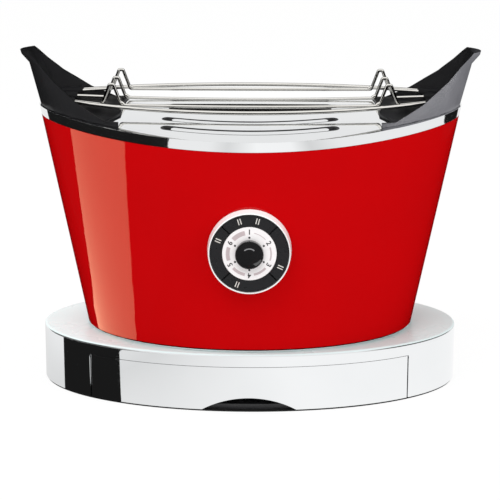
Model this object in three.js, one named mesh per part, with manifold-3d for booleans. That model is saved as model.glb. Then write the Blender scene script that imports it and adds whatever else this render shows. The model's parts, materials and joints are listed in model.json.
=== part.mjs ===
// Two-slot toaster with a flared oval body on an oval base.
// Millimetres, +Z up, front at -Y. The table is z = 0.
import * as THREE from 'three';
import { mergeVertices } from 'three/addons/utils/BufferGeometryUtils.js';
import Module from 'manifold-3d';

const wasm = await Module();
wasm.setup();

// Counts of facets and turns
const fullTurn = Math.PI * 2;
const halfTurn = Math.PI;
const quarterTurn = Math.PI / 2;
const ovalSides = 48;
const ovalAspect = 1.5;
const vaultSteps = 10;
const dialSides = 36;
const smallSides = 12;
const screwSides = 8;
const wireSides = 6;
const notchSides = 96;
const domeSteps = 4;
const guardSides = 4;
const arcSteps = 3;
const edgeSteps = 3;
const bendSteps = 3;
const rodSteps = 20;
const wireSteps = 5;
const straightEnough = 0.1;
const hand = { left: -1, right: 1, front: -1, rear: 1 };

// Fits shared by all pieces
const fitGap = 0.3;
const slideGap = 0.6;
const overrun = 40;

// Base: oval shell, floor and feet
const baseHalfLength = 171.4;
const baseHalfDepth = 106.5;
const baseTopZ = 47;
const baseLowerEdgeZ = 1.6;
const baseWall = 2;
const baseEdgeRound = 2.2;
const baseWellMargin = 17;
const plinthInset = 2.6;
const plinthBottomZ = 0.5;
const plinthRimWidth = 3;
const floorUnderZ = 3.2;
const floorThickness = 2;
const footRadius = 9;
const footMarginX = 63.4;
const footPlaceX = baseHalfLength - footMarginX;
const footMarginY = 48.5;
const footPlaceY = baseHalfDepth - footMarginY;
const footRecessRadius = 4.2;
const footRecessDepth = 1.7;
const footBossRadius = 5;
const footBossHeight = 6;
const footScrewRadius = 1.6;
const footScrewHeadRadius = 3.2;
const footScrewHeadHeight = 1;
const footScrewLength = 7;

// Crumb tray in the front of the base
const trayMargin = 44.7;
const trayHalfWidth = baseHalfLength - trayMargin;
const trayTopZ = 36.5;
const trayFrontWall = 3;
const trayPanMargin = 14.7;
const trayPanHalfWidth = trayHalfWidth - trayPanMargin;
const trayPanRearMargin = 34.5;
const trayPanRearY = baseHalfDepth - trayPanRearMargin;
const trayPanFloorZ = 13;
const trayPanHeight = 18;
const trayPanWall = 1.4;
const thumbNotchWidth = 74;
const thumbNotchHeight = 10;
const runnerWidth = 5;
const runnerInset = 12;

// Cord gland in the rear wall of the base
const glandPlaceX = 70;
const glandPlaceZ = 20;
const glandRadius = 7;
const glandFlangeRadius = 10;
const glandFlangeThickness = 3;
const glandBoreRadius = 3.6;
const glandStandOut = 0.4;

// Body: flared oval shell with an arched rim
const bodyLowerZ = 49.4;
const bodyLowerHalfLength = 134.8;
const bodyLowerHalfDepth = 100.6;
const rimHalfLength = 170;
const rimHalfDepth = 102.5;
const rimEndZ = 221.7;
const rimRise = 16.5;
const bodyWall = 1.5;
const collarInset = 1.2;
const collarWidth = 14;

// Cover: band round the rim and arched top with slots and grooves
const bandHeight = 8;
const coverWall = 1.6;
const coverLipDepth = 5;
const coverLipWall = 1.6;
const slotEndMargin = 69.8;
const slotHalfLength = bodyLowerHalfLength - slotEndMargin;
const slotNearY = 8;
const slotWidth = 30;
const slotCorner = 4;
const slotCollarDepth = 6;
const rackEndMargin = 29;
const rackEndX = rimHalfLength - rackEndMargin;
const rodMargin = 16.5;
const rackRodMiddleY = rimHalfDepth - rodMargin;
const rodBow = 48.6;
const rackArcRadius = (rackEndX ** 2 + rodBow ** 2) / (2 * rodBow);
const grooveWidth = 9;
const grooveDepth = 2.2;
const grooveHalfLength = 69;
const outerGrooveY = 86.6;
const innerGrooveY = 67.9;

// Wings: bow-shaped ends above the cover
const wingHalfLength = 134.8;
const wingOverhang = 0.2;
const wingCentreX = rimHalfLength - wingHalfLength + wingOverhang;
const wingDepthMargin = 17.5;
const wingHalfDepth = rimHalfDepth - wingDepthMargin;
const wingFlare = 0.269;
const wingSideTaper = 0.305;
const wingWall = 4;
const wingEndMargin = 68;
const wingEndX = rimHalfLength - wingEndMargin;
const wingFootMargin = 57;
const wingFootX = rimHalfLength - wingFootMargin;
const wingFootRise = 2.6;
const wingFootZ = rimEndZ + wingFootRise;
const wingEdgeSlope = 0.406;
const wingTipReach = 8;
const wingTipX = rimHalfLength + wingTipReach;
const wingTopRise = 51.3;
const wingTopZ = rimEndZ + wingTopRise;
const wingLipRise = 10;
const wingLipFlat = 3;
const wingLipOut = 4.4;
const wingFloorThickness = 2;
const wingFloorHalfEnd = 50;
const wingFloorHalfFoot = 69.5;
const wingScrewRadius = 2;
const wingScrewHeadRadius = 3.6;
const wingScrewHeadHeight = 2;
const wingScrewLength = 7;
const wingPillarRadius = 4.6;
const wingPillarMargin = 20;
const wingPillarX = rimHalfLength - wingPillarMargin;
const wingPillarY = 16;

// Warming rack: two curved rods and three peaked wires
const rackRise = 13.3;
const rackEndZ = rimEndZ + rackRise;
const rackSag = 1.5;
const rodRadius = 1.6;
const wireRadius = 1.3;
const wireEndMargin = 5.4;
const wireEndY = rackRodMiddleY - rodBow - wireEndMargin;
const wirePeakY = 47.6;
const wireMiddleY = 53;
const middleWireSag = 1.4;
const peakMargin = 32;
const peakPlaceX = rackEndX - peakMargin;
const peakHalfWidth = 7.6;
const peakHeight = 16;
const peakApexHalf = 1.6;
const peakBend = 2.2;
const socketDepth = 6;
const socketWall = 1.8;

// Dial on the front of the body
const dialZ = 129.2;
const bezelRadius = 32.6;
const bezelWall = 2;
const bezelTaper = 1;
const bezelStand = 12.6;
const bezelRound = 0.9;
const housingBarrelRadius = 28;
const housingBarrelWall = 2;
const housingDepth = 18;
const housingFrontWall = 3;
const housingStand = 6.4;
const ringStand = 11.2;
const ringThickness = 2.6;
const ringInnerRadius = 21.3;
const ringGap = 0.9;
const stemRadius = 1.8;
const stemPlaceRadius = 23.8;
const stemLength = 10;
const discRadius = 20.85;
const discThickness = 1.5;
const discStand = 11.8;
const discBossMargin = 0.3;
const knobRadius = 10.95;
const knobSideLength = 5;
const knobDomeRise = 3.6;
const knobShaftRadius = 3;
const knobShaftInset = 3;
const encoderWidth = 13;
const boardWidth = 50;
const boardThickness = 1.6;

// Toasting works inside the body
const chassisThickness = 1.5;
const chassisMargin = 2;
const crumbHoleMargin = 2;
const endPlateMargin = 19;
const endPlateX = slotHalfLength + endPlateMargin;
const endPlateThickness = 1.2;
const endPlateHalfDepth = 54;
const endPlateTopMargin = 13.7;
const endPlateTopZ = rimEndZ - endPlateTopMargin;
const endFlangeWidth = 24;
const heaterThickness = 1.4;
const heaterLowerZ = 70;
const heaterTopMargin = 10;
const heaterUpperZ = endPlateTopZ - heaterTopMargin;
const heaterOuterY = 47;
const heaterTabHeight = 12;
const heaterTabLength = 3.4;
const heaterNotchCount = 8;
const heaterNotchDepth = 3;
const heaterNotchWidth = 4;
const guardWireRadius = 1;
const guardOffset = 1.6;
const guardLowerZ = 76;
const guardTopMargin = 6;
const guardUpperZ = endPlateTopZ - guardTopMargin;
const guardWireCount = 8;
const guardTail = 4;

// Bread lift
const liftRestMargin = 56;
const liftRestZ = endPlateTopZ - liftRestMargin;
const liftDown = 62;
const liftUp = 8;
const restBarHeight = 8;
const restBarThickness = 3;
const restArmCount = 6;
const restArmLength = 20;
const restArmThickness = 2;
const restSlotMargin = 1.5;
const bracketThickness = 5;
const bracketGapX = 4;
const bracketHalfDepth = 46;
const bracketHeight = 16;
const guideRodRadius = 3;
const guideRodY = 38;
const guideRodReach = 9.2;
const guideRodX = endPlateX + guideRodReach;
const guideRodGap = 0.4;
const motorRadius = 11.5;
const motorLength = 22;
const motorReach = 23;
const motorX = endPlateX + motorReach;
const motorDrop = 20;
const motorZ = liftRestZ - motorDrop;
const motorNearY = 8;
const motorMountThickness = 3;
const motorMountMargin = 12;
const motorMountNearX = endPlateX + motorMountMargin;
const motorMountReach = 2;
const pinionTeeth = 12;
const toothModule = 1;
const toothFoot = 1.25;
const toothPlay = 0.15;
const pressureAngle = Math.PI / 9;
const pinionHalfWidth = 3.5;
const pinionShaftRadius = 1.5;
const pinionShaftDepth = 12;
const liftRackMargin = 3.5;
const liftRackFootMargin = 5;

const finishes = {
  chrome: { color: 0xd8dadc, roughness: 0.08, metalness: 1 },
  redPaint: { color: 0xc0080a, roughness: 0.16, metalness: 0.1 },
  blackPlastic: { color: 0x2b2b2c, roughness: 0.55, metalness: 0 },
  rubber: { color: 0x1b1b1b, roughness: 0.85, metalness: 0 },
  steel: { color: 0xa9abad, roughness: 0.4, metalness: 1 },
  silver: { color: 0xdfe0e2, roughness: 0.35, metalness: 0.4 },
  mica: { color: 0xb9a88a, roughness: 0.6, metalness: 0 },
  board: { color: 0x1f5a35, roughness: 0.5, metalness: 0 },
};

const toaster = new THREE.Group();

function addPiece(name, finish, solid) {
  const mesh = new THREE.Mesh(geometryOf(solid), new THREE.MeshStandardMaterial(finishes[finish]));
  mesh.name = name;
  toaster.add(mesh);
}

// Solids from closed geometries, and back
function signedVolume(points, triangles) {
  const corners = [new THREE.Vector3(), new THREE.Vector3(), new THREE.Vector3()];
  let volume = 0;
  for (let i = 0; i < triangles.length; i += 3) {
    corners.forEach((corner, k) => corner.fromArray(points, triangles[i + k] * 3));
    volume += corners[0].dot(corners[1].cross(corners[2])) / 6;
  }
  return volume;
}

function solidOf(geometry) {
  geometry.deleteAttribute('normal');
  geometry.deleteAttribute('uv');
  const merged = mergeVertices(geometry);
  const points = merged.attributes.position.array;
  const triangles = [];
  for (let i = 0; i < merged.index.count; i += 3) {
    const [a, b, c] = merged.index.array.slice(i, i + 3);
    if (a !== b && b !== c && c !== a) triangles.push(a, b, c);
  }
  if (signedVolume(points, triangles) < 0) triangles.reverse();
  return new wasm.Manifold(new wasm.Mesh({
    numProp: 3,
    vertProperties: new Float32Array(points),
    triVerts: new Uint32Array(triangles),
  }));
}

function geometryOf(solid) {
  const mesh = solid.getMesh();
  const geometry = new THREE.BufferGeometry();
  geometry.setAttribute('position', new THREE.BufferAttribute(mesh.vertProperties, mesh.numProp));
  geometry.setIndex(new THREE.BufferAttribute(mesh.triVerts, 1));
  geometry.computeVertexNormals();
  return geometry;
}

function joined(solids) {
  return solids.reduce((whole, solid) => whole.add(solid));
}

function block([x0, x1], [y0, y1], [z0, z1]) {
  const geometry = new THREE.BoxGeometry(x1 - x0, y1 - y0, z1 - z0);
  return solidOf(geometry.translate((x0 + x1) / 2, (y0 + y1) / 2, (z0 + z1) / 2));
}

// A round bar from one point to another
function bar(radius, from, to, sides = smallSides) {
  const start = new THREE.Vector3(...from);
  const end = new THREE.Vector3(...to);
  const geometry = new THREE.CylinderGeometry(radius, radius, start.distanceTo(end), sides);
  const up = new THREE.Vector3(0, 1, 0);
  const along = end.clone().sub(start).normalize();
  geometry.applyQuaternion(new THREE.Quaternion().setFromUnitVectors(up, along));
  const middle = start.add(end).multiplyScalar(1 / 2);
  return solidOf(geometry.translate(middle.x, middle.y, middle.z));
}

// A closed [radius, y] profile revolved about a line along Y at height z
function turned(profile, z, sides = dialSides) {
  const points = profile.map(([radius, y]) => new THREE.Vector2(radius, y));
  return solidOf(new THREE.LatheGeometry([...points, points[0].clone()], sides).translate(0, 0, z));
}

// Flat outlines swept along one axis
function swept(shape, length, curveSegments = arcSteps) {
  return new THREE.ExtrudeGeometry(shape, { depth: length, bevelEnabled: false, curveSegments });
}

function sweptX(shape, [x0, x1]) {
  const turn = new THREE.Matrix4().makeBasis(
    new THREE.Vector3(0, 1, 0), new THREE.Vector3(0, 0, 1), new THREE.Vector3(1, 0, 0));
  return solidOf(swept(shape, x1 - x0).applyMatrix4(turn).translate(x0, 0, 0));
}

function sweptY(shape, [y0, y1]) {
  return solidOf(swept(shape, y1 - y0).rotateX(quarterTurn).translate(0, y1, 0));
}

function sweptZ(shape, [z0, z1]) {
  return solidOf(swept(shape, z1 - z0).translate(0, 0, z0));
}

// Each side of an oval is tangent to it at a fixed heading, so the facets between two ovals lie flat
function ovalHeading(i) {
  const angle = (i / ovalSides) * fullTurn;
  return Math.atan2(ovalAspect * Math.sin(angle), Math.cos(angle));
}

function ovalCorner({ x = 0, a, b, inset = 0 }, i) {
  const reach = (heading) => Math.hypot(a * Math.cos(heading), b * Math.sin(heading)) - inset;
  const first = ovalHeading(i);
  const second = ovalHeading(i + 1);
  const sine = Math.sin(second - first);
  return [
    x + (reach(first) * Math.sin(second) - reach(second) * Math.sin(first)) / sine,
    (reach(second) * Math.cos(first) - reach(first) * Math.cos(second)) / sine,
  ];
}

// A solid through oval rings of half lengths a and b, lowest first
function ovalLoft(rings) {
  const positions = [];
  const index = [];
  for (const ring of rings) {
    for (let i = 0; i < ovalSides; i += 1) positions.push(...ovalCorner(ring, i), ring.z);
  }
  const lowest = rings[0];
  const highest = rings[rings.length - 1];
  const lowCentre = rings.length * ovalSides;
  positions.push(lowest.x ?? 0, 0, lowest.z, highest.x ?? 0, 0, highest.z);
  for (let i = 0; i < ovalSides; i += 1) {
    const next = (i + 1) % ovalSides;
    for (let ring = 0; ring < rings.length - 1; ring += 1) {
      const low = ring * ovalSides;
      const high = low + ovalSides;
      index.push(low + i, low + next, high + next, low + i, high + next, high + i);
    }
    const top = (rings.length - 1) * ovalSides;
    index.push(lowCentre, next, i, lowCentre + 1, top + i, top + next);
  }
  const geometry = new THREE.BufferGeometry();
  geometry.setAttribute('position', new THREE.Float32BufferAttribute(positions, 3));
  geometry.setIndex(index);
  return solidOf(geometry);
}

function roundedOblong(halfX, [y0, y1], corner) {
  const shape = new THREE.Shape();
  shape.moveTo(-halfX + corner, y0);
  shape.absarc(halfX - corner, y0 + corner, corner, -quarterTurn, 0);
  shape.absarc(halfX - corner, y1 - corner, corner, 0, quarterTurn);
  shape.absarc(-halfX + corner, y1 - corner, corner, quarterTurn, halfTurn);
  shape.absarc(-halfX + corner, y0 + corner, corner, halfTurn, halfTurn + quarterTurn);
  return shape;
}

// A tube along listed stations, one ring at each
class Stations extends THREE.Curve {
  constructor(points) {
    super();
    this.points = points;
  }

  getPoint(t, target = new THREE.Vector3()) {
    const place = t * (this.points.length - 1);
    const first = Math.min(Math.floor(place), this.points.length - 2);
    return target.lerpVectors(this.points[first], this.points[first + 1], place - first);
  }

  getPointAt(u, target) {
    return this.getPoint(u, target);
  }

  getTangentAt(u, target = new THREE.Vector3()) {
    const place = Math.round(u * (this.points.length - 1));
    const before = this.points[Math.max(place - 1, 0)];
    const after = this.points[Math.min(place + 1, this.points.length - 1)];
    return target.subVectors(after, before).normalize();
  }
}

function tube(points, radius, sides = wireSides) {
  const section = new THREE.Shape();
  for (let i = 0; i < sides; i += 1) {
    const angle = (i / sides) * fullTurn;
    const place = [radius * Math.cos(angle), radius * Math.sin(angle)];
    if (i === 0) section.moveTo(...place);
    else section.lineTo(...place);
  }
  const settings = { steps: points.length - 1, extrudePath: new Stations(points), bevelEnabled: false };
  return solidOf(new THREE.ExtrudeGeometry(section, settings));
}

// The body's oval at a height, drawn in by an inset, and the solid within it
function bodyOval(z, inset = 0) {
  const share = (z - bodyLowerZ) / (rimEndZ - bodyLowerZ);
  return {
    a: THREE.MathUtils.lerp(bodyLowerHalfLength, rimHalfLength, share),
    b: THREE.MathUtils.lerp(bodyLowerHalfDepth, rimHalfDepth, share),
    inset,
    z,
  };
}

function withinBody(inset = 0) {
  return ovalLoft([bodyOval(bodyLowerZ - overrun, inset), bodyOval(rimEndZ + overrun, inset)]);
}

// The arched rim: height above the crown of the body's edge, and the solid below it
const vaultRadius = (rimHalfDepth ** 2 + rimRise ** 2) / (2 * rimRise);

function vaultZ(y, lift = 0) {
  return rimEndZ + lift - vaultRadius + Math.sqrt(vaultRadius ** 2 - y ** 2);
}

function belowVault(lift = 0) {
  const halfY = rimHalfDepth + coverWall;
  const shape = new THREE.Shape();
  shape.moveTo(-halfY, -overrun);
  for (let i = 0; i <= vaultSteps; i += 1) {
    const y = halfY * (2 * (i / vaultSteps) - 1);
    shape.lineTo(y, vaultZ(y, lift));
  }
  shape.lineTo(halfY, -overrun);
  return sweptX(shape, [-rimHalfLength - overrun, rimHalfLength + overrun]);
}

function everythingFrom([z0, z1]) {
  const halfX = rimHalfLength + overrun;
  const halfY = rimHalfDepth + overrun;
  return block([-halfX, halfX], [-halfY, halfY], [z0, z1]);
}

// Base
function baseRing(inset, z) {
  return { a: baseHalfLength, b: baseHalfDepth, inset, z };
}

function withinBase(inset, [z0, z1]) {
  return ovalLoft([baseRing(inset, z0), baseRing(inset, z1)]);
}

function baseOutside() {
  const rings = [baseRing(0, baseLowerEdgeZ)];
  for (let i = 0; i <= edgeSteps; i += 1) {
    const angle = (i / edgeSteps) * quarterTurn;
    const inset = baseEdgeRound * (1 - Math.cos(angle));
    rings.push(baseRing(inset, baseTopZ - baseEdgeRound * (1 - Math.sin(angle))));
  }
  return ovalLoft(rings);
}

const glandY = baseHalfDepth * Math.sqrt(1 - (glandPlaceX / baseHalfLength) ** 2);

function baseShell() {
  const hollow = withinBase(baseWall, [-overrun, baseTopZ - baseWall]);
  const well = bodyFootprint(baseWellMargin, [0, baseTopZ + overrun]);
  const halfBay = trayHalfWidth + slideGap;
  const bay = block([-halfBay, halfBay], [-baseHalfDepth - overrun, 0], [-overrun, trayTopZ + fitGap]);
  const glandHole = glandBar(glandRadius + fitGap, [0, baseHalfDepth + overrun]);
  return baseOutside().subtract(hollow).subtract(well).subtract(bay).subtract(glandHole);
}

function footPlaces() {
  const places = [];
  for (const depth of ['front', 'rear']) {
    for (const side of ['left', 'right']) {
      places.push({ name: `${depth}_${side}`, x: hand[side] * footPlaceX, y: hand[depth] * footPlaceY });
    }
  }
  return places;
}

function baseFloor() {
  const inset = baseWall + fitGap + trayFrontWall;
  const floorTopZ = floorUnderZ + floorThickness;
  const plate = withinBase(inset, [floorUnderZ, floorTopZ]);
  const plinth = withinBase(plinthInset, [plinthBottomZ, baseLowerEdgeZ - fitGap]);
  const web = withinBase(inset, [plinthBottomZ, floorTopZ]);
  const hollow = withinBase(inset + plinthRimWidth, [-overrun, floorUnderZ]);
  const solids = [plate, plinth.add(web).subtract(hollow)];
  for (const side of [hand.left, hand.right]) {
    const middle = side * (trayPanHalfWidth - runnerInset);
    const edge = trayPanHalfWidth - runnerInset;
    const frontY = -baseHalfDepth * Math.sqrt(1 - (edge / baseHalfLength) ** 2) + runnerInset;
    solids.push(block([middle - runnerWidth / 2, middle + runnerWidth / 2],
      [frontY, trayPanRearY], [floorUnderZ, trayPanFloorZ - fitGap]));
  }
  for (const { x, y } of footPlaces()) {
    solids.push(bar(footBossRadius, [x, y, floorUnderZ], [x, y, floorUnderZ + footBossHeight]));
  }
  const holes = footPlaces().map(({ x, y }) =>
    bar(footScrewRadius + fitGap, [x, y, -overrun], [x, y, floorUnderZ + footScrewLength], screwSides));
  return joined(solids).subtract(joined(holes));
}

function foot({ x, y }) {
  const body = bar(footRadius, [x, y, 0], [x, y, floorUnderZ - fitGap]);
  const recess = bar(footRecessRadius, [x, y, -overrun], [x, y, footRecessDepth]);
  const hole = bar(footScrewRadius + fitGap, [x, y, 0], [x, y, overrun], screwSides);
  return body.subtract(recess).subtract(hole);
}

function footScrew({ x, y }) {
  const headTopZ = footRecessDepth - fitGap;
  const shankTopZ = floorUnderZ + footScrewLength - fitGap;
  const upright = (radius, z0, z1) => bar(radius, [x, y, z0], [x, y, z1], screwSides);
  const head = upright(footScrewHeadRadius, headTopZ - footScrewHeadHeight, headTopZ);
  return head.add(upright(footScrewRadius, headTopZ - footScrewHeadHeight / 2, shankTopZ));
}

// Crumb tray
function thumbNotch() {
  const half = thumbNotchWidth / 2;
  const radius = (half ** 2 + thumbNotchHeight ** 2) / (2 * thumbNotchHeight);
  const centreZ = baseLowerEdgeZ + thumbNotchHeight - radius;
  return bar(radius, [0, -baseHalfDepth - overrun, centreZ], [0, 0, centreZ], notchSides);
}

function trayFront() {
  const outside = withinBase(0, [baseLowerEdgeZ, trayTopZ]);
  const inside = withinBase(trayFrontWall, [-overrun, trayTopZ + overrun]);
  const window = block([-trayHalfWidth, trayHalfWidth],
    [-baseHalfDepth - overrun, 0], [0, trayTopZ + overrun]);
  return outside.subtract(inside).intersect(window).subtract(thumbNotch());
}

function trayPan() {
  const topZ = trayPanFloorZ + trayPanHeight;
  const inset = trayFrontWall + fitGap;
  const outside = withinBase(inset, [trayPanFloorZ, topZ]);
  const window = block([-trayPanHalfWidth, trayPanHalfWidth],
    [-baseHalfDepth - overrun, trayPanRearY], [trayPanFloorZ - overrun, topZ + overrun]);
  const inside = withinBase(inset + trayPanWall, [trayPanFloorZ + trayPanWall, topZ + overrun]);
  const innerHalf = trayPanHalfWidth - trayPanWall;
  const innerWindow = block([-innerHalf, innerHalf],
    [-baseHalfDepth - overrun, trayPanRearY - trayPanWall], [trayPanFloorZ - overrun, topZ + overrun]);
  return outside.intersect(window).subtract(inside.intersect(innerWindow));
}

function glandBar(radius, [y0, y1]) {
  return bar(radius, [glandPlaceX, y0, glandPlaceZ], [glandPlaceX, y1, glandPlaceZ]);
}

function cordGland() {
  const flangeRearY = glandY - baseWall - slideGap;
  const neck = glandBar(glandRadius, [flangeRearY - glandFlangeThickness / 2, glandY + glandStandOut]);
  const flange = glandBar(glandFlangeRadius, [flangeRearY - glandFlangeThickness, flangeRearY]);
  const clearOfWall = withinBase(baseWall + fitGap, [0, baseTopZ]);
  const bore = glandBar(glandBoreRadius, [0, baseHalfDepth + overrun]);
  return flange.intersect(clearOfWall).add(neck).subtract(bore);
}

// Body
function bodyFootprint(inset, [z0, z1]) {
  const oval = bodyOval(bodyLowerZ, inset);
  return ovalLoft([{ ...oval, z: z0 }, { ...oval, z: z1 }]);
}

function seatCollar() {
  const ring = bodyFootprint(collarInset, [baseTopZ + fitGap, bodyLowerZ - fitGap]);
  return ring.subtract(bodyFootprint(collarInset + collarWidth, [-overrun, bodyLowerZ + overrun]));
}

function dialBar(radius, [y0, y1], sides = dialSides, x = 0, z = dialZ) {
  return bar(radius, [x, y0, z], [x, y1, z], sides);
}

function bodyShell() {
  const aboveSeat = everythingFrom([bodyLowerZ, rimEndZ + overrun]);
  const outside = withinBody().intersect(belowVault()).intersect(aboveSeat);
  const dialHole = dialBar(housingBarrelRadius + fitGap, [-rimHalfDepth - overrun, 0]);
  return outside.subtract(withinBody(bodyWall)).subtract(dialHole);
}

// Cover
function slotShape(side, margin = 0) {
  const near = slotNearY - margin;
  const far = slotNearY + slotWidth + margin;
  const range = side < 0 ? [-far, -near] : [near, far];
  return roundedOblong(slotHalfLength + margin, range, slotCorner + margin);
}

function grooveShape(side, middleY, margin = 0) {
  const centreY = rackArcRadius - rackRodMiddleY;
  const radius = centreY + middleY;
  const halfWidth = grooveWidth / 2 + margin;
  const halfAngle = Math.asin((grooveHalfLength - grooveWidth / 2) / radius);
  const towards = side < 0 ? -quarterTurn : quarterTurn;
  const start = towards - halfAngle;
  const end = towards + halfAngle;
  const place = (angle) => [radius * Math.cos(angle), -side * centreY + radius * Math.sin(angle)];
  const shape = new THREE.Shape();
  shape.absarc(0, -side * centreY, radius + halfWidth, start, end);
  shape.absarc(...place(end), halfWidth, end, end + halfTurn);
  shape.absarc(0, -side * centreY, radius - halfWidth, end, start, true);
  shape.absarc(...place(start), halfWidth, start + halfTurn, start + fullTurn);
  return shape;
}

function topCover() {
  const band = withinBody().intersect(belowVault(bandHeight)).subtract(belowVault(fitGap));
  const lipInset = bodyWall + fitGap;
  const lip = withinBody(lipInset).intersect(belowVault(bandHeight - coverWall))
    .subtract(belowVault(fitGap - coverLipDepth));
  const hollow = withinBody(lipInset + coverLipWall).intersect(belowVault(bandHeight - coverWall));
  let cover = band.add(lip).subtract(hollow);
  const fromTo = [rimEndZ - rimRise - overrun, rimEndZ + overrun];
  for (const side of [hand.front, hand.rear]) {
    const collar = sweptZ(slotShape(side, coverWall), fromTo).intersect(belowVault(bandHeight))
      .subtract(belowVault(bandHeight - slotCollarDepth));
    cover = cover.add(collar);
    for (const middleY of [outerGrooveY, innerGrooveY]) {
      const trough = sweptZ(grooveShape(side, middleY, coverWall), fromTo).intersect(belowVault(bandHeight))
        .subtract(belowVault(bandHeight - grooveDepth - coverWall));
      cover = cover.add(trough);
    }
  }
  for (const side of [hand.front, hand.rear]) {
    cover = cover.subtract(sweptZ(slotShape(side), fromTo));
    for (const middleY of [outerGrooveY, innerGrooveY]) {
      cover = cover.subtract(sweptZ(grooveShape(side, middleY), fromTo)
        .subtract(belowVault(bandHeight - grooveDepth)));
    }
  }
  const holes = wingScrewPlaces().map(({ x, y }) =>
    bar(wingScrewRadius + fitGap, [x, y, rimEndZ - overrun], [x, y, rimEndZ + overrun], screwSides));
  return cover.subtract(joined(holes));
}

// Wings
function wingOval(side, z, inset = 0, out = 0) {
  const rise = z - rimEndZ - bandHeight;
  return {
    x: side * wingCentreX,
    a: wingHalfLength + wingFlare * rise + out,
    b: wingHalfDepth - wingSideTaper * rise,
    inset,
    z,
  };
}

function wingScrewPlaces() {
  const places = [];
  for (const sideName of ['left', 'right']) {
    for (const depthName of ['front', 'rear']) {
      const side = hand[sideName];
      const y = hand[depthName] * wingPillarY;
      places.push({ name: `${sideName}_${depthName}`, side, x: side * wingPillarX, y });
    }
  }
  return places;
}

function wingEdge(side) {
  const span = wingTipX - wingFootX;
  const controlX = wingFootX + span / 2;
  const controlZ = wingFootZ + wingEdgeSlope * (span / 2);
  const shape = new THREE.Shape();
  shape.moveTo(side * wingEndX, rimEndZ - overrun);
  shape.lineTo(side * wingEndX, wingFootZ);
  shape.lineTo(side * wingFootX, wingFootZ);
  shape.quadraticCurveTo(side * controlX, controlZ, side * wingTipX, wingTopZ);
  shape.lineTo(side * (wingTipX + overrun), wingTopZ);
  shape.lineTo(side * (wingTipX + overrun), rimEndZ - overrun);
  return sweptY(shape, [-rimHalfDepth, rimHalfDepth]);
}

function wingFloor(side) {
  const shape = new THREE.Shape();
  shape.moveTo(side * wingEndX, -wingFloorHalfEnd);
  shape.lineTo(side * wingFootX, -wingFloorHalfFoot);
  shape.lineTo(side * (wingTipX + overrun), -wingFloorHalfFoot);
  shape.lineTo(side * (wingTipX + overrun), wingFloorHalfFoot);
  shape.lineTo(side * wingFootX, wingFloorHalfFoot);
  shape.lineTo(side * wingEndX, wingFloorHalfEnd);
  const plan = sweptZ(shape, [rimEndZ - overrun, rimEndZ + overrun]);
  const outline = ovalLoft([wingOval(side, rimEndZ - overrun), wingOval(side, rimEndZ + overrun)]);
  return plan.intersect(outline).intersect(belowVault(bandHeight + fitGap + wingFloorThickness));
}

// Where the rack enters a wing: each rod and wire goes on in the direction that it arrives in
function socketEntries(side) {
  const rise = rodHeading();
  const slant = wireHeading();
  const entries = [{ y: 0, heading: 0, radius: wireRadius }];
  for (const depth of [hand.front, hand.rear]) {
    entries.push({ y: depth * rodPlanY(rackEndX), heading: -depth * rise, radius: rodRadius });
    entries.push({ y: depth * wireEndY, heading: -depth * slant, radius: wireRadius });
  }
  const along = ({ y, heading }, length) => [
    side * (rackEndX + length * Math.cos(heading)), y + length * Math.sin(heading), rackEndZ];
  return entries.map((entry) => ({ radius: entry.radius, at: (length) => along(entry, length) }));
}

function wing(side) {
  const outside = ovalLoft([
    wingOval(side, rimEndZ - overrun),
    wingOval(side, wingTopZ - wingLipRise),
    wingOval(side, wingTopZ - wingLipFlat, 0, wingLipOut),
    wingOval(side, wingTopZ + overrun, 0, wingLipOut),
  ]);
  const inside = ovalLoft([
    wingOval(side, rimEndZ - overrun, wingWall),
    wingOval(side, wingTopZ + overrun, wingWall),
  ]);
  let moulding = outside.subtract(inside).intersect(wingEdge(side)).add(wingFloor(side));
  const entries = socketEntries(side);
  const screws = wingScrewPlaces().filter((screw) => screw.side === side);
  const upTo = (radius, { x, y }, topZ, sides) => bar(radius, [x, y, rimEndZ - overrun], [x, y, topZ], sides);
  for (const { at, radius } of entries) {
    moulding = moulding.add(bar(radius + socketWall, at(0), at(wingHalfLength)).intersect(outside));
  }
  for (const screw of screws) {
    moulding = moulding.add(upTo(wingPillarRadius, screw, wingScrewTopZ(screw.y) + fitGap + socketWall));
  }
  for (const { at, radius } of entries) {
    const bore = bar(radius + fitGap, at(-socketDepth), at(socketDepth + fitGap), screwSides);
    moulding = moulding.subtract(bore);
  }
  for (const screw of screws) {
    const bore = upTo(wingScrewRadius + fitGap, screw, wingScrewTopZ(screw.y) + fitGap, screwSides);
    moulding = moulding.subtract(bore);
  }
  return moulding.subtract(belowVault(bandHeight + fitGap));
}

function wingScrewTopZ(y) {
  return vaultZ(y, bandHeight) + wingScrewLength - coverWall;
}

function wingScrew({ x, y }) {
  const headTopZ = vaultZ(Math.abs(y) + wingScrewHeadRadius, bandHeight - coverWall) - fitGap;
  const upright = (radius, z0, z1) => bar(radius, [x, y, z0], [x, y, z1], screwSides);
  const head = upright(wingScrewHeadRadius, headTopZ - wingScrewHeadHeight, headTopZ);
  return head.add(upright(wingScrewRadius, headTopZ - wingScrewHeadHeight / 2, wingScrewTopZ(y)));
}

// Warming rack
function sagAt(x) {
  return rackEndZ - rackSag * (1 - (x / rackEndX) ** 2);
}

function rodPlanY(x) {
  return Math.sqrt(rackArcRadius ** 2 - x ** 2) - rackArcRadius + rackRodMiddleY;
}

function rodHeading() {
  return Math.asin(rackEndX / rackArcRadius);
}

// The end of a rod or wire inside its socket
function socketEnd(depth, planY, heading) {
  return new THREE.Vector3(rackEndX + socketDepth * Math.cos(heading),
    depth * (planY - socketDepth * Math.sin(heading)), rackEndZ);
}

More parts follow.
